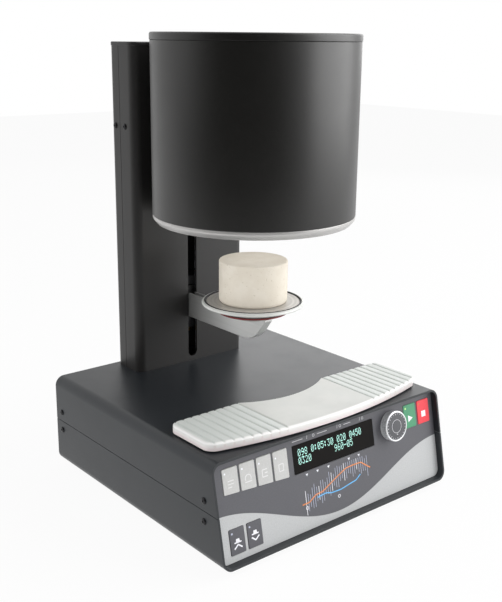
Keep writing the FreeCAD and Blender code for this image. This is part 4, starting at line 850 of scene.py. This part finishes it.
kept = ["keypad_foil", "front_panel", "side_rails", "display_module", "control_board", "encoder_shaft",
        "foot_screws", "main_board", "transformer", "rod_blocks", "screw_bearings", "guide_rods",
        "lead_screw", "lift_motor", "carriage", "guide_bushes", "lift_nut", "arm_screws", "insulation",
        "heating_muffle", "heating_coil", "thermocouple", "bracket_screws", "tray_feet", "lid_screws"]
for name in kept:
    # the node's own mesh; the carriage and rod blocks, seen through the column's slot, take painted shade
    # darker than their slot's material
    if not nodes[name].material_slots:
        nodes[name].data.materials.append(None)
    for slot in nodes[name].material_slots:
        slot.material = materials[ownFinishAndShade.get(name, slotOf[name])]
print("inner pieces dressed")


# Drum

dishLow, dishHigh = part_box("dish")
drumAxis = np.array(((dishLow.x + dishHigh.x) / 2, (dishLow.y + dishHigh.y) / 2, 0.0))


def standing(shape):
    # millimetres about the drum's axis to metres in the frame
    return shape[0] * mm + drumAxis, shape[1]


def roundSizes(node):
    # radius, foot and top of a round upright node in millimetres
    low, high = (np.array(corner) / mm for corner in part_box(node))
    return (high[0] - low[0]) / 2, low[2], high[2]


def turnedPiece(name, corners, segments, node, material=None, steps=6):
    # a rounded profile carried round the drum's axis
    standIn(name, standing(revolved(roundedProfile(corners, steps), segments)), node, material)


drum = {
    "sheet": 2.0,
    "innerEdge": 0.3,
    "lipRounding": 0.7,
    "lidEdge": 1.8,
    "lidSheet": 2.5,
    "lidRim": 14.0,
    "lidSeam": 0.35,  # rounding of the lid's lower edge, which leaves a fine dark line
    "lidSteps": 10,
    "ringFoot": 87.0,
    "ringFootEdge": 1.0,
    "ringBore": 41.5,
    "ringRegister": 2.0,
    "ringShoulder": 4.6,
    "ringShoulderEdge": 3.0,
    "ringTopEdge": 0.4,
    "ringClear": 0.1,  # between the ring's register and the drum's sheet
    "segments": 240,
}


def makeDrum():
    segments, edge = drum["segments"], drum["lipRounding"]
    radius, low, high = roundSizes("drum_shell")
    inner = radius - drum["sheet"]
    turnedPiece("drumWall", [(inner, low, drum["innerEdge"]), (radius, low, edge), (radius, high, edge),
                             (inner, high, drum["innerEdge"])], segments, "drum_shell")
    radius, low, high = roundSizes("drum_lid")
    under, rim = high - drum["lidSheet"], radius - drum["lidRim"]
    turnedPiece("drumCover", [(0, under, 0), (rim, under, 0), (rim, low, 0), (radius, low, drum["lidSeam"]),
                              (radius, high, drum["lidEdge"]), (0, high, 0)],
                segments, "drum_lid", None, drum["lidSteps"])
    radius, low, high = roundSizes("drum_base_ring")
    top = high - drum["ringRegister"]
    register = radius - drum["sheet"] - drum["ringClear"]
    turnedPiece("drumFootRing", [
        (drum["ringBore"], low, drum["ringFootEdge"]), (drum["ringFoot"], low, drum["ringFootEdge"]),
        (radius, low + drum["ringShoulder"], drum["ringShoulderEdge"]), (radius, top, drum["ringTopEdge"]),
        (register, top, 0), (register, high, 0), (drum["ringBore"], high, 0),
    ], segments, "drum_base_ring")


makeDrum()
print("drum ready")


# Dish with its seal, plate and gasket

dish = {
    "rimHeight": 3.2,
    "floor": 2.2,
    "rimWidth": 2.3,
    "rimTop": 2.0,  # roundings of the rim, from its outer top edge downwards
    "rimFoot": 1.2,
    "rimNeck": 2.0,
    "neck": 2.4,  # from the rim's outside to its neck
    "underRadius": 33.6,
    "seal": 1.5,
    "segments": 160,
    "plateSegments": 128,
}


def makeDish():
    radius, low, high = roundSizes("dish")
    rim, inside, floor = high - dish["rimHeight"], radius - dish["rimWidth"], high - dish["floor"]
    turnedPiece("dishBowl", [
        (0, low, 0), (dish["underRadius"], low, 0.8), (radius - dish["neck"], rim, dish["rimNeck"]),
        (radius, rim, dish["rimFoot"]), (radius, high, dish["rimTop"]), (inside, high, 0.25),
        (inside, floor, 0.2), (0, floor, 0),
    ], dish["segments"], "dish", "dishAluminium")
    radius, low, high = roundSizes("dish_seal")
    inner = radius - dish["seal"]
    corners = [(inner, low, 0.2), (radius, low, 0.2), (radius, high, 0.7), (inner, high, 0.7)]
    turnedPiece("dishSealRing", corners, dish["segments"], "dish_seal", "sealRubber")
    for name, node, material, lowEdge, highEdge in (("dishInsert", "dish_plate", "plateAluminium", 0, 0.5),
                                                    ("dishUnderRing", "dish_gasket", None, 0.9, 0.4)):
        radius, low, high = roundSizes(node)
        turnedPiece(name, [(0, low, 0), (radius, low, lowEdge), (radius, high, highEdge), (0, high, 0)],
                    dish["plateSegments"], node, material)


makeDish()
print("dish ready")


# Firing pedestal, pressed porous firebrick

pedestal = {
    "topEdge": 1.5,
    "bottomEdge": 3.0,
    "step": 0.8,  # millimetres between rows of points
    "segments": 256,
    "waves": (2, 3, 5, 8, 13, 21),  # dents round the side
    "climb": 0.05,  # how fast the waves turn with the height
    "unevenness": 0.16,  # millimetres that the sides are dented at most
    "pits": 40,
    "pitDepth": 0.22,
    "pitSize": (0.5, 1.1),
    "seed": 11,
}


def makePedestal():
    # radius and height of the rounded profile, less a slow unevenness and less small round pits
    radius, low, high = roundSizes("firing_pedestal")
    profile = roundedProfile([(0, low, 0), (radius, low, pedestal["bottomEdge"]),
                              (radius, high, pedestal["topEdge"]), (0, high, 0)])
    points, faces = revolved(filledProfile(profile, pedestal["step"]), pedestal["segments"])
    random = np.random.default_rng(pedestal["seed"])
    turn, distance, level = roundPlaces(points)
    level = level - low
    waves = np.zeros(turn.shape)
    for count in pedestal["waves"]:
        phase, climb = random.uniform(0, 2 * math.pi, 2)
        tilt = level * pedestal["climb"] * count * math.cos(climb)
        waves += np.sin(count * turn + phase + tilt) / count ** 0.5
    dents = np.clip(0.5 + 0.18 * waves, 0, 1)
    pits = np.zeros(turn.shape)
    for angle, height, size in zip(random.uniform(-math.pi, math.pi, pedestal["pits"]),
                                   random.uniform(3, high - low - 1.5, pedestal["pits"]),
                                   random.uniform(*pedestal["pitSize"], pedestal["pits"])):
        around = (turn - angle + math.pi) % (2 * math.pi) - math.pi
        away = np.hypot(around * radius, level - height)
        pits = np.maximum(pits, np.clip(1 - (away / size) ** 2, 0, 1) * size)
    # nothing is pressed in more than 2 mm inside the side, and less in the lowest 3 mm
    onSide = np.clip((distance - radius + 2) / 1.5, 0, 1) * np.clip(level / 3, 0, 1)
    pressIn(points, distance, (pedestal["unevenness"] * dents + pedestal["pitDepth"] * pits) * onSide)
    standIn("firingBlock", standing((points, faces)), "firing_pedestal", None, 60.0)


makePedestal()
print("pedestal ready")


# Cooling tray: a height field over a bowed plan

tray = {
    "beyond": 2.8,  # the glazed ends reach past the plate's own length
    "bow": 16.6,  # front corners behind the middle of the front edge
    "endLength": 54.5,  # straight ends, front to rear
    "hollow": 14.8,  # depth of the hollow in the rear edge
    "waist": 50.5,  # half the width of that hollow
    "corner": 8.0,
    "edge": 2.2,  # rounding of the upper edge
    "footEdge": 0.6,  # height at which the wall turns in
    "inset": (0.006, 0.02),  # share of the way to the middle that the foot is set in
    "insetMiddle": (0.0, -65.0),
    "ribFirst": 52.0,  # innermost groove from the tray's middle
    "ribCount": 8,  # whole ribs between grooves on each side
    "ribPitch": 8.35,
    "ribArch": 0.35,  # height of a rib's arched crest
    "grooveDepth": 0.95,
    "grooveWidth": 3.0,
    "ribFade": 2.2,  # grooves reach their depth this far behind the front edge
    "ribEdge": 0.5,  # share of the depth that is left at the edge
    "ribSteps": 24,
}


def trayEdges(x, half, front):
    # y of the bowed front edge and of the rear edge with its hollow, and what the corner arcs take off both
    bowRadius = (half ** 2 + tray["bow"] ** 2) / (2 * tray["bow"])
    frontEdge = front + bowRadius - np.sqrt(bowRadius ** 2 - x ** 2)
    waist, hollow, corner = tray["waist"], tray["hollow"], tray["corner"]
    hollowRadius = (waist ** 2 + hollow ** 2) / (2 * hollow)
    inHollow = np.abs(x) < waist
    dip = hollowRadius - hollow - np.sqrt(hollowRadius ** 2 - np.where(inHollow, x, waist) ** 2)
    rearEdge = front + tray["bow"] + tray["endLength"] + dip * inHollow
    beyond = np.clip(np.abs(x) - (half - corner), 0, corner)
    lift = corner - np.sqrt(corner ** 2 - beyond ** 2)
    return frontEdge + lift, rearEdge - lift


def trayRim(x, y, half, front):
    # distance from the nearest edge of the plan, and that from the front edge
    frontEdge, rearEdge = trayEdges(np.clip(x, -half, half), half, front)
    return np.minimum(np.minimum(y - frontEdge, rearEdge - y), half - np.abs(x)), y - frontEdge


def trayGrid(half, front):
    # x and y of the upper side's points, crowded towards the rim and along the ribs
    edge, first = tray["edge"], tray["ribFirst"]
    last = first + tray["ribCount"] * tray["ribPitch"]
    ease = 1 - np.cos(np.linspace(0, math.pi / 2, 9))
    ribs = np.linspace(first, last, tray["ribCount"] * tray["ribSteps"] + 1)
    end = np.linspace(last, half - edge, 25)[1:-1]
    outer = np.concatenate((ribs, end, half - edge * ease[::-1]))
    lead = first - np.linspace(0, tray["grooveWidth"] / 2, 6)[:0:-1]  # inner half of the first groove
    flat = np.linspace(-lead[0], lead[0], 101)
    x = np.concatenate((-outer[::-1], -lead[:0:-1], flat, lead[1:], outer))
    frontEdge, rearEdge = trayEdges(x, half, front)
    share = np.linspace(0, 1, 46)[:, None]
    y = np.concatenate((frontEdge + edge * ease[:-1, None],
                        frontEdge + edge + (rearEdge - frontEdge - 2 * edge) * share,
                        rearEdge - edge * ease[-2::-1, None]))
    return np.broadcast_to(x, y.shape), y


def makeTray():
    # height is the top, less the rounding near the rim, less cosine grooves between ribs with arched crests
    low, high = (np.array(corner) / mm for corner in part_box("cooling_tray"))
    half, front, bottom, top = high[0] + tray["beyond"], low[1], low[2], high[2]
    edge, pitch, count = tray["edge"], tray["ribPitch"], tray["ribCount"]
    x, y = trayGrid(half, front)
    rim, behind = trayRim(x, y, half, front)
    drop = edge - np.sqrt(np.clip(edge ** 2 - np.clip(edge - rim, 0, edge) ** 2, 0, None))
    along = (np.abs(x) - tray["ribFirst"]) / pitch
    fromGroove = np.abs(along - np.clip(np.round(along), 0, count)) * pitch
    crest = (1 - fromGroove / (pitch / 2)) ** 2 * ((along > 0) & (along < count))
    narrow = 0.5 + 0.5 * np.cos(math.pi * np.clip(2 * fromGroove / tray["grooveWidth"], 0, 1))
    groove = (tray["ribArch"] * crest + tray["grooveDepth"] * narrow) * (fromGroove < pitch / 2)
    fade = np.clip(behind / tray["ribFade"], 0, 1)
    groove = groove * (tray["ribEdge"] + (1 - tray["ribEdge"]) * fade ** 2 * (3 - 2 * fade))
    topRows = np.stack((x, y, np.maximum(top - drop - groove, bottom + 2)), -1)
    rimLine = np.concatenate((topRows[0], topRows[1:, -1], topRows[-1, ::-1][1:], topRows[::-1, 0][1:-1]))
    walls = np.stack([rimLine] * 4)
    walls[3, :, :2] += (np.array(tray["insetMiddle"]) - rimLine[:, :2]) * tray["inset"]
    middle = (bottom + rimLine[:, 2].min()) / 2
    walls[1:, :, 2] = np.array((middle, bottom + tray["footEdge"], bottom))[:, None]
    around = len(rimLine)
    faces = gridFaces(*x.shape, False, False).tolist()
    faces += (gridFaces(4, around, False, True) + x.size).tolist()
    faces.append((x.size + 3 * around + np.arange(around)).tolist())
    points = np.concatenate((topRows.reshape(-1, 3), walls.reshape(-1, 3))) * mm
    piece = standIn("coolingTrayTop", (points, faces), "cooling_tray", None, 30.0)
    x, y, z = (pointsOf(piece.data) / mm).T
    # the mesh's shares, which fade over 0.8 to 1.9 mm: the rim's painted highlight, the painted shade on the
    # wall below it and the ribbed ends
    outward = np.clip(1 - (trayRim(x, y, half, front)[0] - 0.3) / (edge - 0.3), 0, 1)
    shares = {
        "rimHighlightShare": outward * np.clip((z - top + edge + 0.6) / 0.8, 0, 1),
        "wallShadeShare": np.clip((top - edge - z) / 0.8, 0, 1),
        "ribShare": np.clip((np.abs(x) - tray["ribFirst"] + 1.5) / 1.5, 0, 1) * (1 - outward),
    }
    for name, share in shares.items():
        layer = piece.data.attributes.new(name, "FLOAT", "POINT")
        layer.data.foreach_set("value", np.ascontiguousarray(share, dtype=np.float32))


makeTray()
print("tray ready")


# Screws with domed heads and a round socket

screws = {
    "headRadius": 2.9,
    "headHeight": 1.3,
    "headEdge": 0.25,  # upright part of the head
    "dome": 0.82,  # share of a quarter turn that the dome runs inwards
    "shankRadius": 1.5,
    "length": 9.0,
    "socket": 1.0,
    "socketDepth": 0.8,
    "segments": 24,
}


def screwShape():
    # profile of shank, domed head and socket about its own axis, head outwards along Z
    turn = np.linspace(0, math.pi / 2, 7)
    height, edge, socket = screws["headHeight"], screws["headEdge"], screws["socket"]
    heads = np.column_stack((screws["headRadius"] * np.cos(turn * screws["dome"]),
                             edge + (height - edge) * np.sin(turn)))
    shank, sunk = screws["shankRadius"], height - screws["socketDepth"]
    profile = np.concatenate(([(0, -screws["length"]), (shank, -screws["length"]), (shank, 0),
                               (screws["headRadius"], 0)], heads,
                              [(socket, height), (socket, sunk), (0, sunk)]))
    return revolved(profile, screws["segments"])


def makeScrews():
    # every group of the node's points at a head's height above a side is one head
    points, quads = screwShape()
    places = pointsOf(nodes["case_screws"].data) / mm
    parts = []
    for side in (-1, 1):
        for reach in (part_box("upper_shell")[1].x / mm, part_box("column_front_cover")[1].x / mm):
            heads = places[np.abs(places[:, 0] * side - reach - screws["headHeight"]) < 0.02, 1:]
            while len(heads):
                near = np.hypot(*(heads - heads[0]).T) < 2 * screws["headRadius"]
                y, z = np.round((heads[near].max(0) + heads[near].min(0)) / 2, 2)
                turned = (side * (reach + points[..., 2]), y + points[..., 0], z + points[..., 1])
                parts.append((np.stack(turned, -1) * mm, quads))
                heads = heads[~near]
    standIn("sideScrews", joined(parts), "case_screws", None, 40.0)
    print("side screws:", len(parts))


makeScrews()


# Places on the front panel

def middleOnPanel(node):
    # millimetres across and up the slope to the middle of a node
    low, high = (np.array(corner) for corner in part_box(node))
    return (panelAxes[:2] @ ((low + high) / 2 - panelZero) / mm).tolist()


def addMarks(name, node, parts, material, place=(0.0, 0.0)):
    # shapes in millimetres about a place on the panel, on a node's body and with the named material
    addPiece(name, onPanel(joined(parts), *place), node, material)


# Selector knob with its knurled side and printed face

knob = {
    "radius": 14.0,
    "height": 8.4,
    "clear": 0.4,
    "bore": 5.5,
    "faceRadius": 12.5,
    "faceDrop": 0.15,  # face below the rim
    "seat": 7.6,
    "ridges": 60,
    "ridgeDepth": 0.6,
    "ridgeTop": 6.4,
    "dialRadius": 6.0,
    "dialLine": 0.35,
    "tickCount": 24,
    "tickInner": 10.3,
    "tickShort": 0.7,  # two of three ticks are shorter by this
    "tickOuter": 11.9,
    "tickLine": 0.45,
    "arrow": [(-0.8, -7.9), (0.0, -6.6), (0.8, -7.9)],
}


def makeKnob():
    # radius of the profile, less a cosine ripple round the side between the foot and the rim
    radius, rim, foot, bore = knob["radius"], knob["height"], knob["clear"], knob["bore"]
    face, seat = knob["faceRadius"], knob["seat"]
    profile = filledProfile(roundedProfile([
        (bore, foot, 0), (radius - 0.6, foot, 0.5), (radius - 0.2, rim - 2.2, 0.05),
        (radius, rim - 1.8, 0.05), (radius, rim, 0.9), (face, rim, 0.4), (face, seat, 0), (bore, seat, 0),
    ]), 0.7)
    points, faces = revolved(profile, knob["ridges"] * 6)
    turn, distance, level = roundPlaces(points)
    ridged = np.clip((level - 0.8) / 0.5, 0, 1) * np.clip((knob["ridgeTop"] - level) / 0.4, 0, 1)
    ripple = 0.5 + 0.5 * np.cos(knob["ridges"] * turn)
    pressIn(points, distance, knob["ridgeDepth"] * ripple * ridged * (distance > radius - 1.2))
    place = middleOnPanel("selector_knob")
    standIn("knobBody", onPanel((points, faces), *place), "selector_knob", None, 40.0)
    top, across = rim - knob["faceDrop"], face - 0.1
    profile = roundedProfile([(0, seat, 0), (across, seat, 0), (across, top, 0.15), (0, top, 0)])
    standIn("knobDial", onPanel(revolved(profile, 96), *place), "knob_face")
    low, high = top - 0.05, top + 0.06
    parts = [strip(circle(0, 0, knob["dialRadius"], 96), knob["dialLine"], low, high, True),
             polygon(knob["arrow"], low, high)]
    for index in range(knob["tickCount"]):
        angle = 2 * math.pi * index / knob["tickCount"]
        inner = knob["tickInner"] + (knob["tickShort"] if index % 3 else 0)
        ends = np.linspace(inner, knob["tickOuter"], 3)[:, None] * (math.cos(angle), math.sin(angle))
        parts.append(strip(ends, knob["tickLine"], low, high))
    addMarks("knobDialMarks", "knob_face", parts, "dialPrint", place)


makeKnob()
print("knob ready")


# Display characters, five by seven dots

display = {
    "lines": ("098 0:05:30 020 0450", "0320       960-05   "),
    "left": -41.0,
    "pitch": 3.85,  # from character to character
    "tops": (75.6, 68.4),  # upper edges of the two lines
    "dot": (0.62, 0.90),  # spacing of the dots across and up
    "dotShare": 0.84,  # of that spacing that a lit dot fills
    "dotThick": 0.02,
    "out": 0.03,
}

dotRows = {
    "0": "01110 10001 10011 10101 11001 10001 01110",
    "1": "00100 01100 00100 00100 00100 00100 01110",
    "2": "01110 10001 00001 00010 00100 01000 11111",
    "3": "11111 00010 00100 00010 00001 10001 01110",
    "4": "00010 00110 01010 10010 11111 00010 00010",
    "5": "11111 10000 11110 00001 00001 10001 01110",
    "6": "00110 01000 10000 11110 10001 10001 01110",
    "7": "11111 00001 00010 00100 01000 01000 01000",
    "8": "01110 10001 10001 01110 10001 10001 01110",
    "9": "01110 10001 10001 01111 00001 00010 01100",
    ":": "00000 01100 01100 00000 01100 01100 00000",
    "-": "00000 00000 00000 11111 00000 00000 00000",
    " ": "00000 00000 00000 00000 00000 00000 00000",
}


def makeDigits():
    # a small box for every lit dot, at character pitch plus dot spacing
    across, up = display["dot"]
    centres = []
    for text, top in zip(display["lines"], display["tops"]):
        for place, character in enumerate(text):
            row, column = np.nonzero([[dot == "1" for dot in row] for row in dotRows[character].split()])
            left = display["left"] + place * display["pitch"]
            centres.append(np.column_stack((left + (column + 0.5) * across, top - (row + 0.5) * up,
                                            np.full(len(row), display["out"]))))
    half = (across * display["dotShare"] / 2, up * display["dotShare"] / 2, display["dotThick"])
    addPiece("displayDots", onPanel(boxes(np.concatenate(centres), half)), "display_window", "digitGlow")


makeDigits()
print("display ready")


# Prints on the foil: a firing curve over a time scale, and rules above the display

curves = {
    "thick": (0.005, 0.05),
    "over": 0.03,  # curves above the bars
    "bars": (-37.5, 38.5, 30),  # first and last place, and how many
    "barWidth": 0.42,
    "barBelow": 10.5,
    "barAbove": 11.0,
    "barTop": 49.3,
    "tallEvery": 6,
    "tallWidth": 1.3,  # times a bar's width
    "orange": [(-42, 27.0), (-34, 27.2), (-26, 31.5), (-18, 31.9), (-8, 36.2), (2, 40.4), (12, 44.2),
               (20, 44.6), (31, 44.4), (37, 40.0), (42, 36.6)],
    "blue": [(-24, 28.6), (-14, 29.6), (-8, 27.8), (4, 27.4), (14, 29.0), (23, 30.2), (29, 34.0)],
    "lineWidth": 0.95,
    "pointers": (-33.5, -21.0, -8.0, 17.0, 29.5),
    "pointerTip": 50.2,
    "pointerSize": (1.4, 2.1),
    "rings": ((-37, 23.0, 1.3), (1, 22.2, 1.3)),
    "ringLine": 0.5,
}

rules = {
    "height": 83.2,
    "long": ((-46.0, -34.0), (-17.0, -5.5), (15.0, 23.5)),
    "longLine": 0.5,
    "short": (-29.0, 7.0, 35.0),
    "shortEnds": (-0.3, -1.4, 0.3, 1.6),
    "shortLine": 0.35,
    "rings": (-21.5, 10.5, 38.5),
    "ringRadius": 1.1,
    "ringLine": 0.4,
}


def smoothLine(corners, count, rounding=0.35):
    # polyline through the corners whose turns are softened by a moving mean
    corners = np.array(corners, float)
    run = np.concatenate(([0], np.cumsum(np.hypot(*np.diff(corners, axis=0).T))))
    at = np.linspace(0, run[-1], count)
    line = np.column_stack([np.interp(at, run, values) for values in corners.T])
    reach = max(1, int(rounding * count / len(corners) / 2))
    kernel = np.ones(2 * reach + 1) / (2 * reach + 1)
    padded = np.concatenate((np.repeat(line[:1], reach, 0), line, np.repeat(line[-1:], reach, 0)))
    soft = np.column_stack([np.convolve(values, kernel, "valid") for values in padded.T])
    soft[0], soft[-1] = line[0], line[-1]
    return soft


def makeCurves():
    # bars stand about the orange curve's height, and their reach swings with a cosine of their number
    low, high = curves["thick"]
    places = np.linspace(*curves["bars"])
    grey, white = [], []
    for index, (place, height) in enumerate(zip(places, np.interp(places, *np.array(curves["orange"]).T))):
        reach = 0.75 + 0.25 * math.cos(index * 1.7)
        top = min(height + curves["barAbove"] * reach, curves["barTop"])
        line = straight(place, height - curves["barBelow"] * reach, place, top)
        if index % curves["tallEvery"] == 0:
            white.append(strip(line, curves["barWidth"] * curves["tallWidth"], low, high))
        else:
            grey.append(strip(line, curves["barWidth"], low, high))
    half, tall = curves["pointerSize"]
    tip = curves["pointerTip"]
    for place in curves["pointers"]:
        corners = [(place - half, tip + tall), (place + half, tip + tall), (place, tip)]
        white.append(polygon(corners, low, high))
    for ring in curves["rings"]:
        white.append(strip(circle(*ring, 20), curves["ringLine"], low, high, True))
    addMarks("scaleBars", "keypad_foil", grey, "printGrey")
    addMarks("scaleMarks", "keypad_foil", white, "printWhite")
    for name, line, count, material in (("firingCurve", "orange", 120, "printOrange"),
                                        ("vacuumCurve", "blue", 80, "printBlue")):
        band = strip(smoothLine(curves[line], count), curves["lineWidth"], low + curves["over"],
                     high + curves["over"])
        addMarks(name, "keypad_foil", [band], material)


def makeRules():
    low, high = curves["thick"]
    height = rules["height"]
    parts = [strip(straight(left, height, right, height), rules["longLine"], low, high)
             for left, right in rules["long"]]
    parts += [strip(straight(*rules["shortEnds"]) + (place, height), rules["shortLine"], low, high)
              for place in rules["short"]]
    parts += [strip(circle(place, height, rules["ringRadius"], 20), rules["ringLine"], low, high, True)
              for place in rules["rings"]]
    addMarks("displayRules", "keypad_foil", parts, "dialPrint")


makeCurves()
makeRules()
print("prints ready")


# Pictograms and lamps on the keys

keyPrint = {
    "low": 0.57,
    "high": 0.66,
    "line": 0.9,
    "block": [(-2.0, 0.4), (2.0, 0.4), (1.6, 3.0), (-1.6, 3.0)],  # what stands on the dish of a lift key
}

keyMarks = {
    # strokes: both ends, and the width where it isn't the usual one; arc: centre, radius, degrees;
    # block: its foot; shape: corners; lamp: place and half its size; paints of picture and lamp
    "programme_key_1": {"strokes": [(-3.0, 0.6, 3.0, 0.6), (-3.0, -2.0, 3.0, -2.0, 0.7),
                                    (-3.0, -4.6, 1.0, -4.6)]},
    "programme_key_2": {"arc": (0, -1.6, 3.0, -30, 210), "strokes": [(-3.4, -4.6, 3.4, -4.6)]},
    "programme_key_3": {"strokes": [(-2.8, 1.2, 2.4, 1.2), (-2.8, 1.2, -2.8, -4.8), (-2.8, -4.8, 2.8, -4.8),
                                    (-0.4, -1.8, 2.8, -1.8)]},
    "programme_key_4": {"strokes": [(-2.4, 1.2, 2.4, 1.2), (-2.4, 1.2, -2.4, -4.8), (-2.4, -4.8, 2.4, -4.8),
                                    (2.4, 1.2, 2.4, -4.8)]},
    "lift_up_key": {"block": -0.6, "lamp": (-5.0, 7.6, 0.75), "paints": ("printWhite", "printGrey"),
                    "strokes": [(-3.6, -0.6, 3.6, -0.6, 1.1), (-4.0, -5.6, 0.15, -2.4, 1.25),
                                (-0.15, -2.4, 4.0, -5.6, 1.25)]},
    "lift_down_key": {"block": 0.6, "lamp": (-5.0, 7.6, 0.75), "paints": ("printWhite", "printGrey"),
                      "strokes": [(-3.6, 0.6, 3.6, 0.6, 1.1), (-4.0, -1.6, 0.15, -4.8, 1.25),
                                  (-0.15, -4.8, 4.0, -1.6, 1.25)]},
    "start_key": {"shape": [(-2.6, -5.2), (3.4, -2.0), (-2.6, 1.2)], "lamp": (-5.4, 8.2, 0.8),
                  "paints": ("printWhite", "lampGreen")},
    "stop_key": {"shape": [(-2.8, -4.8), (2.8, -4.8), (2.8, 0.8), (-2.8, 0.8)], "lamp": (-5.4, 8.2, 0.8),
                 "paints": ("printWhite", "lampAmber")},
}


def makeKeyMarks(node, marks):
    low, high = keyPrint["low"], keyPrint["high"]
    parts = []
    if "block" in marks:
        parts.append(polygon([(x, y + marks["block"]) for x, y in keyPrint["block"]], low, high))
    if "shape" in marks:
        parts.append(polygon(marks["shape"], low, high))
    if "arc" in marks:
        *place, start, end = marks["arc"]
        path = arc(*place, np.radians(np.linspace(start, end, 17)))
        parts.append(strip(path, keyPrint["line"], low, high))
    for x1, y1, x2, y2, *width in marks.get("strokes", ()):
        parts.append(strip(straight(x1, y1, x2, y2), width[0] if width else keyPrint["line"], low, high))
    picturePaint, lampPaint = marks.get("paints", ("printPale", "printWhite"))
    place = middleOnPanel(node)
    addMarks(node + "_picture", node, parts, picturePaint, place)
    x, y, half = marks.get("lamp", (-5.2, 7.4, 0.7))
    lamp = boxes([(x, y, (low + high) / 2)], (half, half, (high - low) / 2))
    addMarks(node + "_lamp", node, [lamp], lampPaint, place)


for node, marks in keyMarks.items():
    makeKeyMarks(node, marks)
print("key marks ready")


# Marks of the power switch: a stroke for on and a ring for off

rockerMarks = {
    "strokeLength": 3.0,
    "ringRadius": 1.5,
    "line": 0.6,
    "thick": (0.0, 0.10),
    "middleBand": 1.5,  # half the height of the band in which the two slopes meet
    "outerBand": 2.0,
}


def makeRockerMarks():
    # each mark lies on one slope of the rocker, between the points that stand out most at end and middle
    low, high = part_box("power_switch")
    middleX, middleZ = (low.x + high.x) / 2 / mm, (low.z + high.z) / 2 / mm
    places = pointsOf(nodes["power_switch"].data) / mm
    level = places[:, 2] - middleZ
    centre = places[np.abs(level) < rockerMarks["middleBand"]]
    inner = centre[np.argmax(centre[:, 1]), 1:]
    reach, radius = rockerMarks["strokeLength"] / 2, rockerMarks["ringRadius"]
    parts = []
    marks = ((1, straight(0, -reach, 0, reach), False), (-1, circle(0, 0, radius, 24), True))
    for side, path, closed in marks:
        half = places[level * side > rockerMarks["outerBand"]]
        run = half[np.argmax(half[:, 1]), 1:] - inner
        slope = unit(run)
        out = np.array((abs(slope[1]), -slope[0] * np.sign(slope[1])))
        points, faces = strip(path, rockerMarks["line"], *rockerMarks["thick"], closed)
        flat = inner + 0.5 * run + points[:, 1:2] * slope + points[:, 2:3] * out
        parts.append((np.column_stack((middleX + points[:, 0], flat)) * mm, faces))
    addPiece("rockerMarks", joined(parts), "power_switch", "printWhite")


makeRockerMarks()
print("rocker marks ready")
